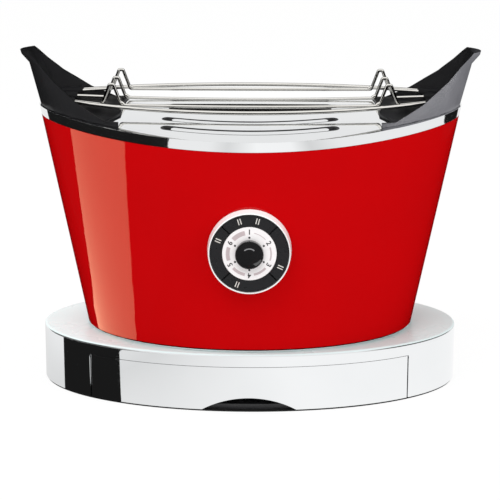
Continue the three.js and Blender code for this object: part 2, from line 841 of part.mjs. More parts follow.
function rackRod(depth) {
  const points = [];
  for (let i = 0; i <= rodSteps; i += 1) {
    const x = rackEndX * (2 * (i / rodSteps) - 1);
    points.push(new THREE.Vector3(x, depth * rodPlanY(x), sagAt(x)));
  }
  const end = socketEnd(depth, rodPlanY(rackEndX), rodHeading());
  return tube([new THREE.Vector3(-end.x, end.y, end.z), ...points, end], rodRadius);
}

// Corners of a wire rounded by short curves, with one station at each turn of a bend
function bentStations(corners, bend) {
  const stations = [corners[0]];
  for (let i = 1; i < corners.length - 1; i += 1) {
    const corner = corners[i];
    const before = corners[i - 1].clone().sub(corner);
    const after = corners[i + 1].clone().sub(corner);
    const turn = before.angleTo(after);
    if (turn > halfTurn - straightEnough) {
      stations.push(corner);
    } else {
      const start = corner.clone().add(before.setLength(bend));
      const end = corner.clone().add(after.setLength(bend));
      stations.push(...new THREE.QuadraticBezierCurve3(start, corner, end).getPoints(bendSteps));
    }
  }
  stations.push(corners[corners.length - 1]);
  return stations;
}

const peakFootX = peakPlaceX + peakHalfWidth;

function wirePlanY(x) {
  return wireMiddleY - (wireMiddleY - wirePeakY) * (x / peakFootX) ** 2;
}

function wireHeading() {
  return Math.atan2(wirePlanY(peakFootX) - wireEndY, rackEndX - peakFootX);
}

// A wire from its socket over its peak to the middle of the rack; the middle wire is straight and sags more
function rackWire(depth) {
  const drop = (x) => (depth === 0 ? middleWireSag * (1 - (x / rackEndX) ** 2) : 0);
  const heading = depth === 0 ? 0 : wireHeading();
  const corner = (x, rise) => new THREE.Vector3(x, depth * wirePlanY(x), sagAt(x) + rise - drop(x));
  const half = [
    socketEnd(depth, wireEndY, heading),
    new THREE.Vector3(rackEndX, depth * wireEndY, rackEndZ),
    corner(peakFootX, 0),
    corner(peakPlaceX + peakApexHalf, peakHeight),
    corner(peakPlaceX - peakApexHalf, peakHeight),
    corner(peakPlaceX - peakHalfWidth, 0),
  ];
  for (let i = wireSteps - 1; i > 0; i -= 1) {
    half.push(corner((peakPlaceX - peakHalfWidth) * (i / wireSteps), 0));
  }
  const mirrored = half.map((point) => new THREE.Vector3(-point.x, point.y, point.z)).reverse();
  return tube(bentStations([...half, ...mirrored], peakBend), wireRadius);
}

// Dial
const wallY = -bodyOval(dialZ).b;

function dialBezel() {
  const frontY = wallY - bezelStand;
  const innerRadius = bezelRadius - bezelWall;
  const ring = turned([
    [innerRadius, 0],
    [bezelRadius, 0],
    [bezelRadius, wallY],
    [bezelRadius - bezelTaper, frontY + bezelRound],
    [bezelRadius - bezelTaper - bezelRound / 2, frontY],
    [innerRadius + bezelRound / 2, frontY],
    [innerRadius, frontY + bezelRound],
  ], dialZ);
  return ring.subtract(withinBody(-fitGap));
}

const ringNames = ['go_stop_rocker', 'defrost_button', 'bagel_button', 'reheat_button'];

function stemPlace(quarter) {
  const angle = quarter * quarterTurn;
  return { x: stemPlaceRadius * Math.sin(angle), z: dialZ + stemPlaceRadius * Math.cos(angle) };
}

function dialHousing() {
  const flangeRadius = bezelRadius - bezelWall - fitGap;
  const frontY = wallY - housingStand;
  const flange = dialBar(flangeRadius, [frontY, wallY + housingStand]).subtract(withinBody(-fitGap));
  const barrel = dialBar(housingBarrelRadius, [frontY, wallY + housingDepth]);
  const discBackY = wallY - discStand + discThickness;
  const boss = dialBar(discRadius - discBossMargin, [discBackY + fitGap, frontY + fitGap]);
  const hollow = dialBar(housingBarrelRadius - housingBarrelWall,
    [frontY + housingFrontWall, wallY + housingDepth + overrun]);
  const through = [wallY - overrun, wallY + overrun];
  let housing = flange.add(barrel).add(boss).subtract(hollow);
  for (let quarter = 0; quarter < ringNames.length; quarter += 1) {
    const { x, z } = stemPlace(quarter);
    housing = housing.subtract(dialBar(stemRadius + fitGap, through, smallSides, x, z));
  }
  return housing.subtract(dialBar(knobShaftRadius + fitGap, through, smallSides));
}

function scaleDisc() {
  const disc = dialBar(discRadius, [wallY - discStand, wallY - discStand + discThickness]);
  return disc.subtract(dialBar(knobShaftRadius + fitGap, [wallY - overrun, wallY], smallSides));
}

function ringButton(quarter) {
  const outer = bezelRadius - bezelWall - ringGap / 2;
  const middle = quarterTurn - quarter * quarterTurn;
  const half = (radius) => quarterTurn / 2 - ringGap / 2 / radius;
  const shape = new THREE.Shape();
  shape.absarc(0, 0, outer, middle - half(outer), middle + half(outer));
  const inner = ringInnerRadius;
  shape.absarc(0, 0, inner, middle + half(inner), middle - half(inner), true);
  const frontY = wallY - ringStand;
  const backY = frontY + ringThickness;
  const cap = sweptY(shape, [frontY, backY]).translate([0, 0, dialZ]);
  const { x, z } = stemPlace(quarter);
  return cap.add(dialBar(stemRadius, [frontY + ringThickness / 2, backY + stemLength], smallSides, x, z));
}

function browningKnob() {
  const backY = wallY - discStand - fitGap;
  const sideY = backY - knobSideLength;
  const profile = [[0, backY], [knobRadius, backY], [knobRadius, sideY]];
  for (let i = 1; i <= domeSteps; i += 1) {
    const angle = (i / domeSteps) * quarterTurn;
    const reach = i === domeSteps ? 0 : knobRadius * Math.cos(angle);
    profile.push([reach, sideY - knobDomeRise * Math.sin(angle)]);
  }
  return turned(profile, dialZ).subtract(dialBar(knobShaftRadius + fitGap, [sideY, wallY], smallSides));
}

function knobShaft() {
  const frontY = wallY - discStand - knobSideLength;
  return dialBar(knobShaftRadius, [frontY, wallY + knobShaftInset], smallSides);
}

function encoderBody() {
  const half = encoderWidth / 2;
  const y0 = wallY - housingStand + housingFrontWall + fitGap;
  const body = block([-half, half], [y0, wallY + housingDepth], [dialZ - half, dialZ + half]);
  const boreEndY = wallY + knobShaftInset + fitGap;
  return body.subtract(dialBar(knobShaftRadius + fitGap, [wallY - overrun, boreEndY], smallSides));
}

function controlBoard() {
  const half = boardWidth / 2;
  const y0 = wallY + housingDepth + fitGap;
  return block([-half, half], [y0, y0 + boardThickness], [dialZ - half, dialZ + half]);
}

// Toasting works
const chassisTopZ = bodyLowerZ + chassisThickness;

function chassisFloor() {
  const plate = bodyFootprint(bodyWall + chassisMargin, [bodyLowerZ, chassisTopZ]);
  const range = [0, chassisTopZ + overrun];
  let floor = plate;
  for (const side of [hand.front, hand.rear]) {
    floor = floor.subtract(sweptZ(slotShape(side, crumbHoleMargin), range));
  }
  return floor;
}

function guardRows() {
  const near = slotNearY - guardOffset;
  const far = slotNearY + slotWidth + guardOffset;
  return [
    { name: 'guard_front_outer', y: -far },
    { name: 'guard_front_inner', y: -near },
    { name: 'guard_rear_inner', y: near },
    { name: 'guard_rear_outer', y: far },
  ];
}

const heaterRows = [
  { name: 'heater_front', y: -heaterOuterY },
  { name: 'heater_centre', y: 0 },
  { name: 'heater_rear', y: heaterOuterY },
];

const slotMiddleY = slotNearY + slotWidth / 2;

function endPlate(side) {
  const x0 = endPlateX;
  const x1 = endPlateX + endPlateThickness;
  const flangeX = endPlateX + endFlangeWidth;
  const z0 = chassisTopZ + fitGap;
  const profile = new THREE.Shape();
  profile.moveTo(side * x0, z0);
  profile.lineTo(side * flangeX, z0);
  profile.lineTo(side * flangeX, z0 + endPlateThickness);
  profile.lineTo(side * x1, z0 + endPlateThickness);
  profile.lineTo(side * x1, endPlateTopZ - endPlateThickness);
  profile.lineTo(side * flangeX, endPlateTopZ - endPlateThickness);
  profile.lineTo(side * flangeX, endPlateTopZ);
  profile.lineTo(side * x0, endPlateTopZ);
  let plate = sweptY(profile, [-endPlateHalfDepth, endPlateHalfDepth]);
  const through = [side * x0 - overrun, side * x0 + overrun / 2].sort((p, q) => p - q);
  for (const { y } of heaterRows) {
    const halfSlot = heaterThickness / 2 + fitGap;
    for (const z of heaterTabZs()) {
      plate = plate.subtract(block(through, [y - halfSlot, y + halfSlot],
        [z - heaterTabHeight / 2 - fitGap, z + heaterTabHeight / 2 + fitGap]));
    }
  }
  for (const { y } of guardRows()) {
    for (const z of [guardLowerZ, guardUpperZ]) {
      const hole = bar(guardWireRadius + fitGap, [through[0], y, z], [through[1], y, z], screwSides);
      plate = plate.subtract(hole);
    }
  }
  if (side === hand.right) {
    const halfSlot = restBarThickness / 2 + restSlotMargin;
    const low = liftRestZ - liftDown - restBarHeight - restSlotMargin;
    const high = liftRestZ + liftUp + restSlotMargin;
    for (const depth of [hand.front, hand.rear]) {
      const y = depth * slotMiddleY;
      plate = plate.subtract(block(through, [y - halfSlot, y + halfSlot], [low, high]));
      plate = plate.subtract(bar(guideRodRadius + fitGap, [guideRodX, depth * guideRodY, -overrun],
        [guideRodX, depth * guideRodY, endPlateTopZ + overrun]));
    }
  }
  return plate;
}

function heaterTabZs() {
  const quarterHeight = (heaterUpperZ - heaterLowerZ) / 4;
  return [heaterLowerZ + quarterHeight, heaterUpperZ - quarterHeight];
}

function heater(y) {
  const halfX = endPlateX - fitGap;
  const half = heaterThickness / 2;
  let panel = block([-halfX, halfX], [y - half, y + half], [heaterLowerZ, heaterUpperZ]);
  for (const z of heaterTabZs()) {
    const tabX = endPlateX + endPlateThickness + heaterTabLength;
    panel = panel.add(block([-tabX, tabX], [y - half, y + half],
      [z - heaterTabHeight / 2, z + heaterTabHeight / 2]));
  }
  const pitch = (2 * halfX) / heaterNotchCount;
  for (let i = 0; i < heaterNotchCount; i += 1) {
    const x = -halfX + pitch * (i + 1 / 2);
    for (const [z0, z1] of [[heaterLowerZ - overrun, heaterLowerZ + heaterNotchDepth],
      [heaterUpperZ - heaterNotchDepth, heaterUpperZ + overrun]]) {
      panel = panel.subtract(block([x - heaterNotchWidth / 2, x + heaterNotchWidth / 2],
        [y - overrun, y + overrun], [z0, z1]));
    }
  }
  return panel;
}

function breadGuard(y) {
  const tailX = endPlateX + endPlateThickness + guardTail;
  const rails = [guardLowerZ, guardUpperZ].map((z) =>
    bar(guardWireRadius, [-tailX, y, z], [tailX, y, z], guardSides));
  const wires = [];
  const span = 2 * (endPlateX - slotNearY);
  for (let i = 0; i < guardWireCount; i += 1) {
    const x = -span / 2 + (span * i) / (guardWireCount - 1);
    wires.push(bar(guardWireRadius, [x, y, guardLowerZ], [x, y, guardUpperZ], guardSides));
  }
  return joined([...rails, ...wires]);
}

// Bread lift
const bracketX = endPlateX + endPlateThickness + bracketGapX;

function breadRest(depth) {
  const y = depth * slotMiddleY;
  const half = restBarThickness / 2;
  const lowZ = liftRestZ - restBarHeight;
  const farX = bracketX + bracketThickness;
  const solids = [block([-slotHalfLength, farX], [y - half, y + half], [lowZ, liftRestZ])];
  for (let i = 0; i < restArmCount; i += 1) {
    const x = -slotHalfLength + restArmThickness / 2
      + ((2 * slotHalfLength - restArmThickness) * i) / (restArmCount - 1);
    solids.push(block([x - restArmThickness / 2, x + restArmThickness / 2],
      [y - restArmLength / 2, y + restArmLength / 2], [liftRestZ - restBarHeight / 2, liftRestZ]));
  }
  return joined(solids);
}

function carriageBracket() {
  const middleZ = liftRestZ - restBarHeight / 2;
  const z0 = middleZ - bracketHeight / 2;
  const z1 = middleZ + bracketHeight / 2;
  const guideHalf = guideRodRadius + bracketGapX;
  let bracket = block([bracketX, bracketX + bracketThickness],
    [-bracketHalfDepth, bracketHalfDepth], [z0, z1]);
  for (const depth of [hand.front, hand.rear]) {
    const y = depth * guideRodY;
    bracket = bracket.add(bar(guideHalf, [guideRodX, y, z0], [guideRodX, y, z1]));
  }
  bracket = bracket.intersect(block([endPlateX + endPlateThickness + slideGap, bracketX + overrun],
    [-bracketHalfDepth, bracketHalfDepth], [z0, z1]));
  for (const depth of [hand.front, hand.rear]) {
    const y = depth * guideRodY;
    const boreRadius = guideRodRadius + guideRodGap;
    bracket = bracket.subtract(bar(boreRadius, [guideRodX, y, z0 - overrun], [guideRodX, y, z1 + overrun]));
    const slot = restBarThickness / 2 + fitGap;
    bracket = bracket.subtract(block([0, bracketX + overrun],
      [depth * slotMiddleY - slot, depth * slotMiddleY + slot],
      [middleZ - restBarHeight / 2 - fitGap, middleZ + restBarHeight / 2 + fitGap]));
  }
  return bracket;
}

function guideRod(depth) {
  const y = depth * guideRodY;
  const topZ = endPlateTopZ + guideRodRadius;
  return bar(guideRodRadius, [guideRodX, y, chassisTopZ + fitGap], [guideRodX, y, topZ]);
}

function liftMotor() {
  const body = bar(motorRadius, [motorX, motorNearY, motorZ], [motorX, motorNearY + motorLength, motorZ]);
  const mount = block([motorMountNearX, motorX + motorMountReach],
    [motorNearY + motorLength - motorMountThickness, motorNearY + motorLength],
    [chassisTopZ + fitGap + endPlateThickness + fitGap, motorZ]);
  const boreEndY = motorNearY + pinionShaftDepth + fitGap;
  const bore = alongMotor(pinionShaftRadius + fitGap, [0, boreEndY], screwSides);
  return body.add(mount).subtract(bore);
}

function alongMotor(radius, [y0, y1], sides) {
  return bar(radius, [motorX, y0, motorZ], [motorX, y1, motorZ], sides);
}

// Rack and pinion: involute teeth on the pinion, straight flanks on the rack, in mesh at the pitch line
const pinionPitchRadius = toothModule * pinionTeeth / 2;
const pinionBaseRadius = pinionPitchRadius * Math.cos(pressureAngle);
const pinionTipRadius = pinionPitchRadius + toothModule;
const halfTooth = Math.PI * toothModule / 4 - toothPlay;

function involute(angle) {
  return Math.tan(angle) - angle;
}

function pinionToothHalfAngle(radius) {
  const angle = Math.acos(Math.min(1, pinionBaseRadius / radius));
  return halfTooth / pinionPitchRadius + involute(pressureAngle) - involute(angle);
}

function liftPinion() {
  const rising = [pinionPitchRadius - toothFoot, pinionBaseRadius, pinionPitchRadius, pinionTipRadius];
  const points = [];
  for (let i = 0; i < pinionTeeth; i += 1) {
    const middle = (i + 1 / 2) * (fullTurn / pinionTeeth);
    const corner = (radius, side) => {
      const angle = middle + side * pinionToothHalfAngle(radius);
      points.push(new THREE.Vector2(motorX + radius * Math.cos(angle), motorZ + radius * Math.sin(angle)));
    };
    rising.forEach((radius) => corner(radius, -1));
    [...rising].reverse().forEach((radius) => corner(radius, 1));
  }
  const wheel = sweptY(new THREE.Shape(points), [-pinionHalfWidth, pinionHalfWidth]);
  return wheel.add(alongMotor(pinionShaftRadius, [0, motorNearY + pinionShaftDepth], screwSides));
}

function liftRack() {
  const pitchX = motorX - pinionPitchRadius;
  const backX = bracketX + bracketThickness + fitGap;
  const lowZ = motorZ - liftUp - liftRackFootMargin;
  const highZ = motorZ + liftDown + liftRackMargin;
  const pitch = Math.PI * toothModule;
  const halfAt = (height) => halfTooth - height * Math.tan(pressureAngle);
  const rootX = pitchX - toothFoot;
  const tipX = pitchX + toothModule;
  const points = [new THREE.Vector2(backX, lowZ), new THREE.Vector2(rootX, lowZ)];
  const first = Math.ceil((lowZ + pitch / 2 - motorZ) / pitch);
  for (let z = motorZ + first * pitch; z < highZ - pitch / 2; z += pitch) {
    points.push(new THREE.Vector2(rootX, z - halfAt(-toothFoot)));
    points.push(new THREE.Vector2(tipX, z - halfAt(toothModule)));
    points.push(new THREE.Vector2(tipX, z + halfAt(toothModule)));
    points.push(new THREE.Vector2(rootX, z + halfAt(-toothFoot)));
  }
  points.push(new THREE.Vector2(rootX, highZ), new THREE.Vector2(backX, highZ));
  return sweptY(new THREE.Shape(points), [-pinionHalfWidth, pinionHalfWidth]);
}

function addBase() {
  addPiece('base_shell', 'chrome', baseShell());
  addPiece('base_floor', 'blackPlastic', baseFloor());
  for (const place of footPlaces()) {
    addPiece(`foot_${place.name}`, 'rubber', foot(place));
    addPiece(`foot_screw_${place.name}`, 'steel', footScrew(place));
  }
  addPiece('tray_front', 'chrome', trayFront());
  addPiece('tray_pan', 'steel', trayPan());
  addPiece('cord_gland', 'rubber', cordGland());
}

function addBody() {
  addPiece('seat_collar', 'chrome', seatCollar());
  addPiece('body_shell', 'redPaint', bodyShell());
  addPiece('top_cover', 'chrome', topCover());
  addPiece('wing_left', 'blackPlastic', wing(hand.left));
  addPiece('wing_right', 'blackPlastic', wing(hand.right));
  for (const place of wingScrewPlaces()) {
    addPiece(`wing_screw_${place.name}`, 'steel', wingScrew(place));
  }
}

function addRack() {
  addPiece('rack_rod_front', 'chrome', rackRod(hand.front));
  addPiece('rack_rod_rear', 'chrome', rackRod(hand.rear));
  addPiece('rack_wire_front', 'chrome', rackWire(hand.front));
  addPiece('rack_wire_middle', 'chrome', rackWire(0));
  addPiece('rack_wire_rear', 'chrome', rackWire(hand.rear));
}

function addDial() {
  addPiece('dial_bezel', 'chrome', dialBezel());
  addPiece('dial_housing', 'blackPlastic', dialHousing());
  addPiece('scale_disc', 'silver', scaleDisc());
  ringNames.forEach((name, quarter) => addPiece(name, 'blackPlastic', ringButton(quarter)));
  addPiece('browning_knob', 'blackPlastic', browningKnob());
  addPiece('knob_shaft', 'steel', knobShaft());
  addPiece('encoder_body', 'blackPlastic', encoderBody());
  addPiece('control_board', 'board', controlBoard());
}

function addToastingWorks() {
  addPiece('chassis_floor', 'steel', chassisFloor());
  addPiece('end_plate_left', 'steel', endPlate(hand.left));
  addPiece('end_plate_right', 'steel', endPlate(hand.right));
  for (const { name, y } of heaterRows) addPiece(name, 'mica', heater(y));
  for (const { name, y } of guardRows()) addPiece(name, 'steel', breadGuard(y));
  addPiece('bread_rest_front', 'steel', breadRest(hand.front));
  addPiece('bread_rest_rear', 'steel', breadRest(hand.rear));
  addPiece('carriage_bracket', 'steel', carriageBracket());
  addPiece('guide_rod_front', 'steel', guideRod(hand.front));
  addPiece('guide_rod_rear', 'steel', guideRod(hand.rear));
  addPiece('lift_motor', 'steel', liftMotor());
  addPiece('lift_pinion', 'steel', liftPinion());
  addPiece('lift_rack', 'steel', liftRack());
}

addBase();
addBody();
addRack();
addDial();
addToastingWorks();

// The part's origin is the bottom centre of its box, which the knob draws forward
const frontReachY = wallY - discStand - fitGap - knobSideLength - knobDomeRise;
toaster.position.y = -(frontReachY + baseHalfDepth) / 2;

export default toaster;
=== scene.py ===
# Looks of the two-slot toaster: smooth shells, finishes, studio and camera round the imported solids.
import json
import math

import bmesh
import bpy
from mathutils import Matrix, Vector


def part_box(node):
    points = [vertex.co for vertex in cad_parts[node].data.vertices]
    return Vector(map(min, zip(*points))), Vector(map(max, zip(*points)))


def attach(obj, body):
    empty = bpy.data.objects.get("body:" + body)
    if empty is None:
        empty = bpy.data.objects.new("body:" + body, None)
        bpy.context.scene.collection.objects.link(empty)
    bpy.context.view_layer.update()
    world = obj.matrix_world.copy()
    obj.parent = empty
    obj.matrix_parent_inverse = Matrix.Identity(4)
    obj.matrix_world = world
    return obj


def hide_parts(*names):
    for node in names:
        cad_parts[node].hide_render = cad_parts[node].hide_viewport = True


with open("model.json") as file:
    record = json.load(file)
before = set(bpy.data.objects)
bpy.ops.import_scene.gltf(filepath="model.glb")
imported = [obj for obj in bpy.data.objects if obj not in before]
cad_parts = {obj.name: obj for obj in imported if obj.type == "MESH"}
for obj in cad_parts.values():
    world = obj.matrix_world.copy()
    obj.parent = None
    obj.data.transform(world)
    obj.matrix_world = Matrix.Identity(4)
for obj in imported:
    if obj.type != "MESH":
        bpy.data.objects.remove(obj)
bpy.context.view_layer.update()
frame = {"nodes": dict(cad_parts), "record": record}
baseLow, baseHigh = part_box("base_shell")
middleY = (baseLow.y + baseHigh.y) / 2  # the part's origin lies this far in front of the base's middle
mm = 0.001
print("frame loaded")

# camera at the photograph's angle
cameraSettings = {"away": 1378 * mm, "height": 423 * mm, "turn": 0.0042, "down": 0.2259, "roll": 0.0028,
                  "lensPixels": 1700, "imagePixels": 500, "sensor": 36}


def placeCamera(place):
    data = bpy.data.cameras.new("camera")
    data.sensor_width = place["sensor"]
    data.lens = place["sensor"] * place["lensPixels"] / place["imagePixels"]
    camera = bpy.data.objects.new("camera", data)
    bpy.context.scene.collection.objects.link(camera)
    spot = Vector((math.sin(place["turn"]) * place["away"],
                   middleY - math.cos(place["turn"]) * place["away"], place["height"]))
    camera.matrix_world = (Matrix.Translation(spot) @ Matrix.Rotation(place["turn"], 4, "Z")
                           @ Matrix.Rotation(math.pi / 2 - place["down"], 4, "X")
                           @ Matrix.Rotation(place["roll"], 4, "Z"))
    bpy.context.scene.camera = camera


placeCamera(cameraSettings)


# finishes, named for their real materials; some also paint shade or offset light, as said at each
def linearColour(code):
    channels = [int(code[i:i + 2], 16) / 255 for i in (1, 3, 5)]
    return [c / 12.92 if c <= 0.04045 else ((c + 0.055) / 1.055) ** 2.4 for c in channels] + [1]


def addNode(tree, kind, settings, links):
    node = tree.nodes.new("ShaderNode" + kind)
    for name, value in settings.items():
        if isinstance(name, str) and name[0].islower():
            setattr(node, name, value)
        else:
            node.inputs[name].default_value = value
    for name, source in links.items():
        tree.links.new(source, node.inputs[name])
    return node


def perMetre(size):
    return 1 / (size * mm)  # a pattern's scale from the size of its grain in millimetres


noiseReach = (0.3, 0.7)  # nearly all values of the noise lie between these


def makeFinish(name, look):
    material = bpy.data.materials.new(name)
    material.use_nodes = True
    tree = material.node_tree
    shader = tree.nodes["Principled BSDF"]
    for socket, value in look["shader"].items():
        shader.inputs[socket].default_value = value
    coords = addNode(tree, "TexCoord", {}, {})
    mapping = addNode(tree, "Mapping", {"Scale": look.get("stretch", (1, 1, 1))},
                      {"Vector": coords.outputs["Object"]})
    broad = addNode(tree, "TexNoise", {"Scale": perMetre(look["driftSize"]), "Detail": 3.0},
                    {"Vector": coords.outputs["Object"]})
    fine = addNode(tree, "TexNoise", {"Scale": perMetre(look["grainSize"]), "Detail": 4.0, "Roughness": 0.6},
                   {"Vector": mapping.outputs["Vector"]})
    colour = addNode(tree, "Mix", {"data_type": "RGBA", 6: linearColour(look["colour"]),
                                   7: linearColour(look["worn"])}, {0: broad.outputs["Fac"]})
    tree.links.new(colour.outputs[2], shader.inputs["Base Color"])
    low, high = look["roughness"]
    rough = addNode(tree, "MapRange", {"From Min": noiseReach[0], "From Max": noiseReach[1],
                                       "To Min": low, "To Max": high}, {"Value": broad.outputs["Fac"]})
    tree.links.new(rough.outputs["Result"], shader.inputs["Roughness"])
    bump = addNode(tree, "Bump", {"Distance": look["grainDepth"] * mm, "Strength": 1.0},
                   {"Height": fine.outputs["Fac"]})
    tree.links.new(bump.outputs["Normal"], shader.inputs["Normal"])
    return material


finishLooks = {
    # chrome plate over polished steel: a mirror with the faintest waviness
    "platedChrome": {"shader": {"Metallic": 1.0}, "colour": "#F6F7F8", "worn": "#EFF1F2", "driftSize": 60,
                     "roughness": (0.03, 0.05), "grainSize": 60, "grainDepth": 0.004},
    # drawn stainless wire, polished: fine draw marks soften the mirror
    "polishedWire": {"shader": {"Metallic": 1.0}, "colour": "#E6E4DF", "worn": "#DAD8D3", "driftSize": 20,
                     "roughness": (0.06, 0.1), "grainSize": 2.5, "grainDepth": 0.001},
    # gloss enamel sprayed and baked on steel: deep colour, slight orange peel
    "glossEnamel": {"shader": {"Metallic": 0.0, "IOR": 1.5, "Specular IOR Level": 0.25}, "colour": "#C4070B",
                    "worn": "#BC060A", "driftSize": 45, "roughness": (0.03, 0.05), "grainSize": 9,
                    "grainDepth": 0.003},
    # silver lacquer under a clear coat on the bezel: pale, softly shining
    "silverLacquer": {"shader": {"Metallic": 0.0, "IOR": 1.45, "Specular IOR Level": 0.3}, "colour": "#F0F0F0",
                      "worn": "#E6E6E6", "driftSize": 20, "roughness": (0.2, 0.28), "grainSize": 0.3,
                      "grainDepth": 0.002},
    # satin plate on the base's top: pale, with blurred reflections; its cyan tint is painted light that offsets the
    # red the paint throws on it
    "satinPlate": {"shader": {"Metallic": 0.0, "IOR": 1.45, "Specular IOR Level": 0.2}, "colour": "#DFEDED",
                   "worn": "#D8E6E6", "driftSize": 40, "roughness": (0.25, 0.35), "grainSize": 0.4,
                   "grainDepth": 0.003},
    # painted shade: near-black on the slots' walls, where the slots look dark inside
    "paintedSlotShade": {"shader": {"Metallic": 0.0, "IOR": 1.5}, "colour": "#131313", "worn": "#1C1A19",
                  "driftSize": 10, "roughness": (0.6, 0.75), "grainSize": 0.8, "grainDepth": 0.01},
    # ABS from a spark-eroded mould: matt black with a fine grain
    "mouldedAbs": {"shader": {"Metallic": 0.0, "IOR": 1.53}, "colour": "#242426", "worn": "#29292B",
                   "driftSize": 12, "roughness": (0.40, 0.52), "grainSize": 0.7, "grainDepth": 0.02},
    # ABS from a polished mould, for the keys
    "satinAbs": {"shader": {"Metallic": 0.0, "IOR": 1.53}, "colour": "#29292B", "worn": "#2F2F31",
                 "driftSize": 8, "roughness": (0.24, 0.34), "grainSize": 0.5, "grainDepth": 0.006},
    # ABS polished to a gloss, for the knob; also painted shade in the cover's grooves, whose edges and ends look
    # dark
    "glossAbsAndGrooveShade": {"shader": {"Metallic": 0.0, "IOR": 1.53}, "colour": "#1D1D1E", "worn": "#232324",
                 "driftSize": 8, "roughness": (0.06, 0.12), "grainSize": 1.0, "grainDepth": 0.002},
    # aluminium sheet under a pale satin print ground
    "printGround": {"shader": {"Metallic": 0.15, "IOR": 1.5}, "colour": "#EFECEC", "worn": "#E4E0E1",
                    "driftSize": 6, "roughness": (0.30, 0.38), "grainSize": 0.4, "grainDepth": 0.004},
    # zinc-coated sheet steel: dull, slightly cloudy
    "coatedSheet": {"shader": {"Metallic": 1.0}, "colour": "#A7A9AB", "worn": "#8F9193", "driftSize": 9,
                    "roughness": (0.32, 0.45), "grainSize": 0.8, "grainDepth": 0.01, "stretch": (0.1, 1, 1)},
    # pressed mica board: layered, tan, faintly glittering
    "micaBoard": {"shader": {"Metallic": 0.0, "IOR": 1.56}, "colour": "#B9A88A", "worn": "#9C8B6C",
                  "driftSize": 5, "roughness": (0.35, 0.6), "grainSize": 1.5, "grainDepth": 0.03},
    # moulded silicone rubber: no shine
    "siliconeRubber": {"shader": {"Metallic": 0.0, "IOR": 1.43}, "colour": "#1D1D1D", "worn": "#242424",
                       "driftSize": 6, "roughness": (0.7, 0.85), "grainSize": 0.5, "grainDepth": 0.02},
    # glass-epoxy board under green solder mask
    "solderMask": {"shader": {"Metallic": 0.0, "IOR": 1.5}, "colour": "#1F5A35", "worn": "#1A4D2D",
                   "driftSize": 10, "roughness": (0.3, 0.4), "grainSize": 0.6, "grainDepth": 0.01},
}
# screen-printed inks: the colour, the colour where worn and the size of the drift
inks = {"paleInk": ("#DEDAD4", "#CFCBC5", 4), "greyInk": ("#8B8B8D", "#818183", 4),
        "darkInk": ("#2A282A", "#353335", 4), "roseInk": ("#CDB9BD", "#BDB3B4", 3)}
for ink, (inkColour, inkWorn, inkDrift) in inks.items():
    finishLooks[ink] = {"shader": {"Metallic": 0.0, "IOR": 1.5}, "colour": inkColour, "worn": inkWorn,
                        "driftSize": inkDrift, "roughness": (0.4, 0.5), "grainSize": 0.3, "grainDepth": 0.002}
finishes = {name: makeFinish(name, look) for name, look in finishLooks.items()}
print("finishes made")

# modelling steps that the pieces share, with their settings
meshSettings = {"weld": 0.001, "cornerSegments": 6, "pathOrder": 3, "pathResolution": 5}


def setMode(mode):
    bpy.ops.object.mode_set(mode=mode)


def freshStart():
    if bpy.context.object and bpy.context.object.mode != "OBJECT":
        setMode("OBJECT")
    bpy.ops.object.select_all(action="DESELECT")


def activate(piece):
    freshStart()
    piece.select_set(True)
    bpy.context.view_layer.objects.active = piece


def settle(piece, name):
    activate(piece)
    bpy.ops.object.transform_apply(location=True, rotation=True, scale=True)
    piece.name = name
    piece.data.name = name
    return piece


def pick(piece, kind, test):
    bpy.ops.mesh.select_mode(type=kind)
    bpy.ops.mesh.select_all(action="DESELECT")
    mesh = bmesh.from_edit_mesh(piece.data)
    for item in {"VERT": mesh.verts, "EDGE": mesh.edges, "FACE": mesh.faces}[kind]:
        item.select_set(test(item))
    bmesh.update_edit_mesh(piece.data)


def roundRings(*rings):
    # rings of a round piece, from a radius and a level each
    return [(radius, radius, level) for radius, level in rings]


def stackRings(name, rings, axis="Z", sides=192, ends="cap", centre=None):
    # an oval is extruded from ring to ring; each ring is a half width, a half depth and a level, in mm
    along = Vector((0, 0, mm)) if axis == "Z" else Vector((0, mm, 0))
    if centre is None:
        centre = Vector((0, middleY, 0)) if axis == "Z" else Vector((0, middleY, dialHeight * mm))
    wide, deep, level = rings[0]
    spot = centre + along * level
    freshStart()
    bpy.ops.mesh.primitive_circle_add(vertices=sides, radius=mm, location=spot,
                                      rotation=(0 if axis == "Z" else math.pi / 2, 0, 0))
    piece = settle(bpy.context.object, name)
    setMode("EDIT")
    bpy.ops.mesh.select_all(action="SELECT")
    sizes = (wide, deep, 1) if axis == "Z" else (wide, 1, deep)
    bpy.ops.transform.resize(value=sizes, center_override=spot)
    for nextWide, nextDeep, nextLevel in rings[1:]:
        bpy.ops.mesh.extrude_edges_move(TRANSFORM_OT_translate={"value": along * (nextLevel - level)})
        spot = centre + along * nextLevel
        growWide, growDeep = nextWide / wide, nextDeep / deep
        sizes = (growWide, growDeep, 1) if axis == "Z" else (growWide, 1, growDeep)
        bpy.ops.transform.resize(value=sizes, center_override=spot)
        wide, deep, level = nextWide, nextDeep, nextLevel
    if ends == "pole":
        bpy.ops.mesh.merge(type="CENTER")
    elif ends == "cap":
        bpy.ops.mesh.edge_face_add()
    pick(piece, "EDGE", lambda edge: edge.is_boundary)
    if ends == "bridge":
        bpy.ops.mesh.bridge_edge_loops()
    else:
        bpy.ops.mesh.edge_face_add()
    tidyMesh()
    return piece


def tidyMesh():
    bpy.ops.mesh.select_all(action="SELECT")
    bpy.ops.mesh.remove_doubles(threshold=meshSettings["weld"] * mm)
    bpy.ops.mesh.normals_make_consistent(inside=False)
    setMode("OBJECT")


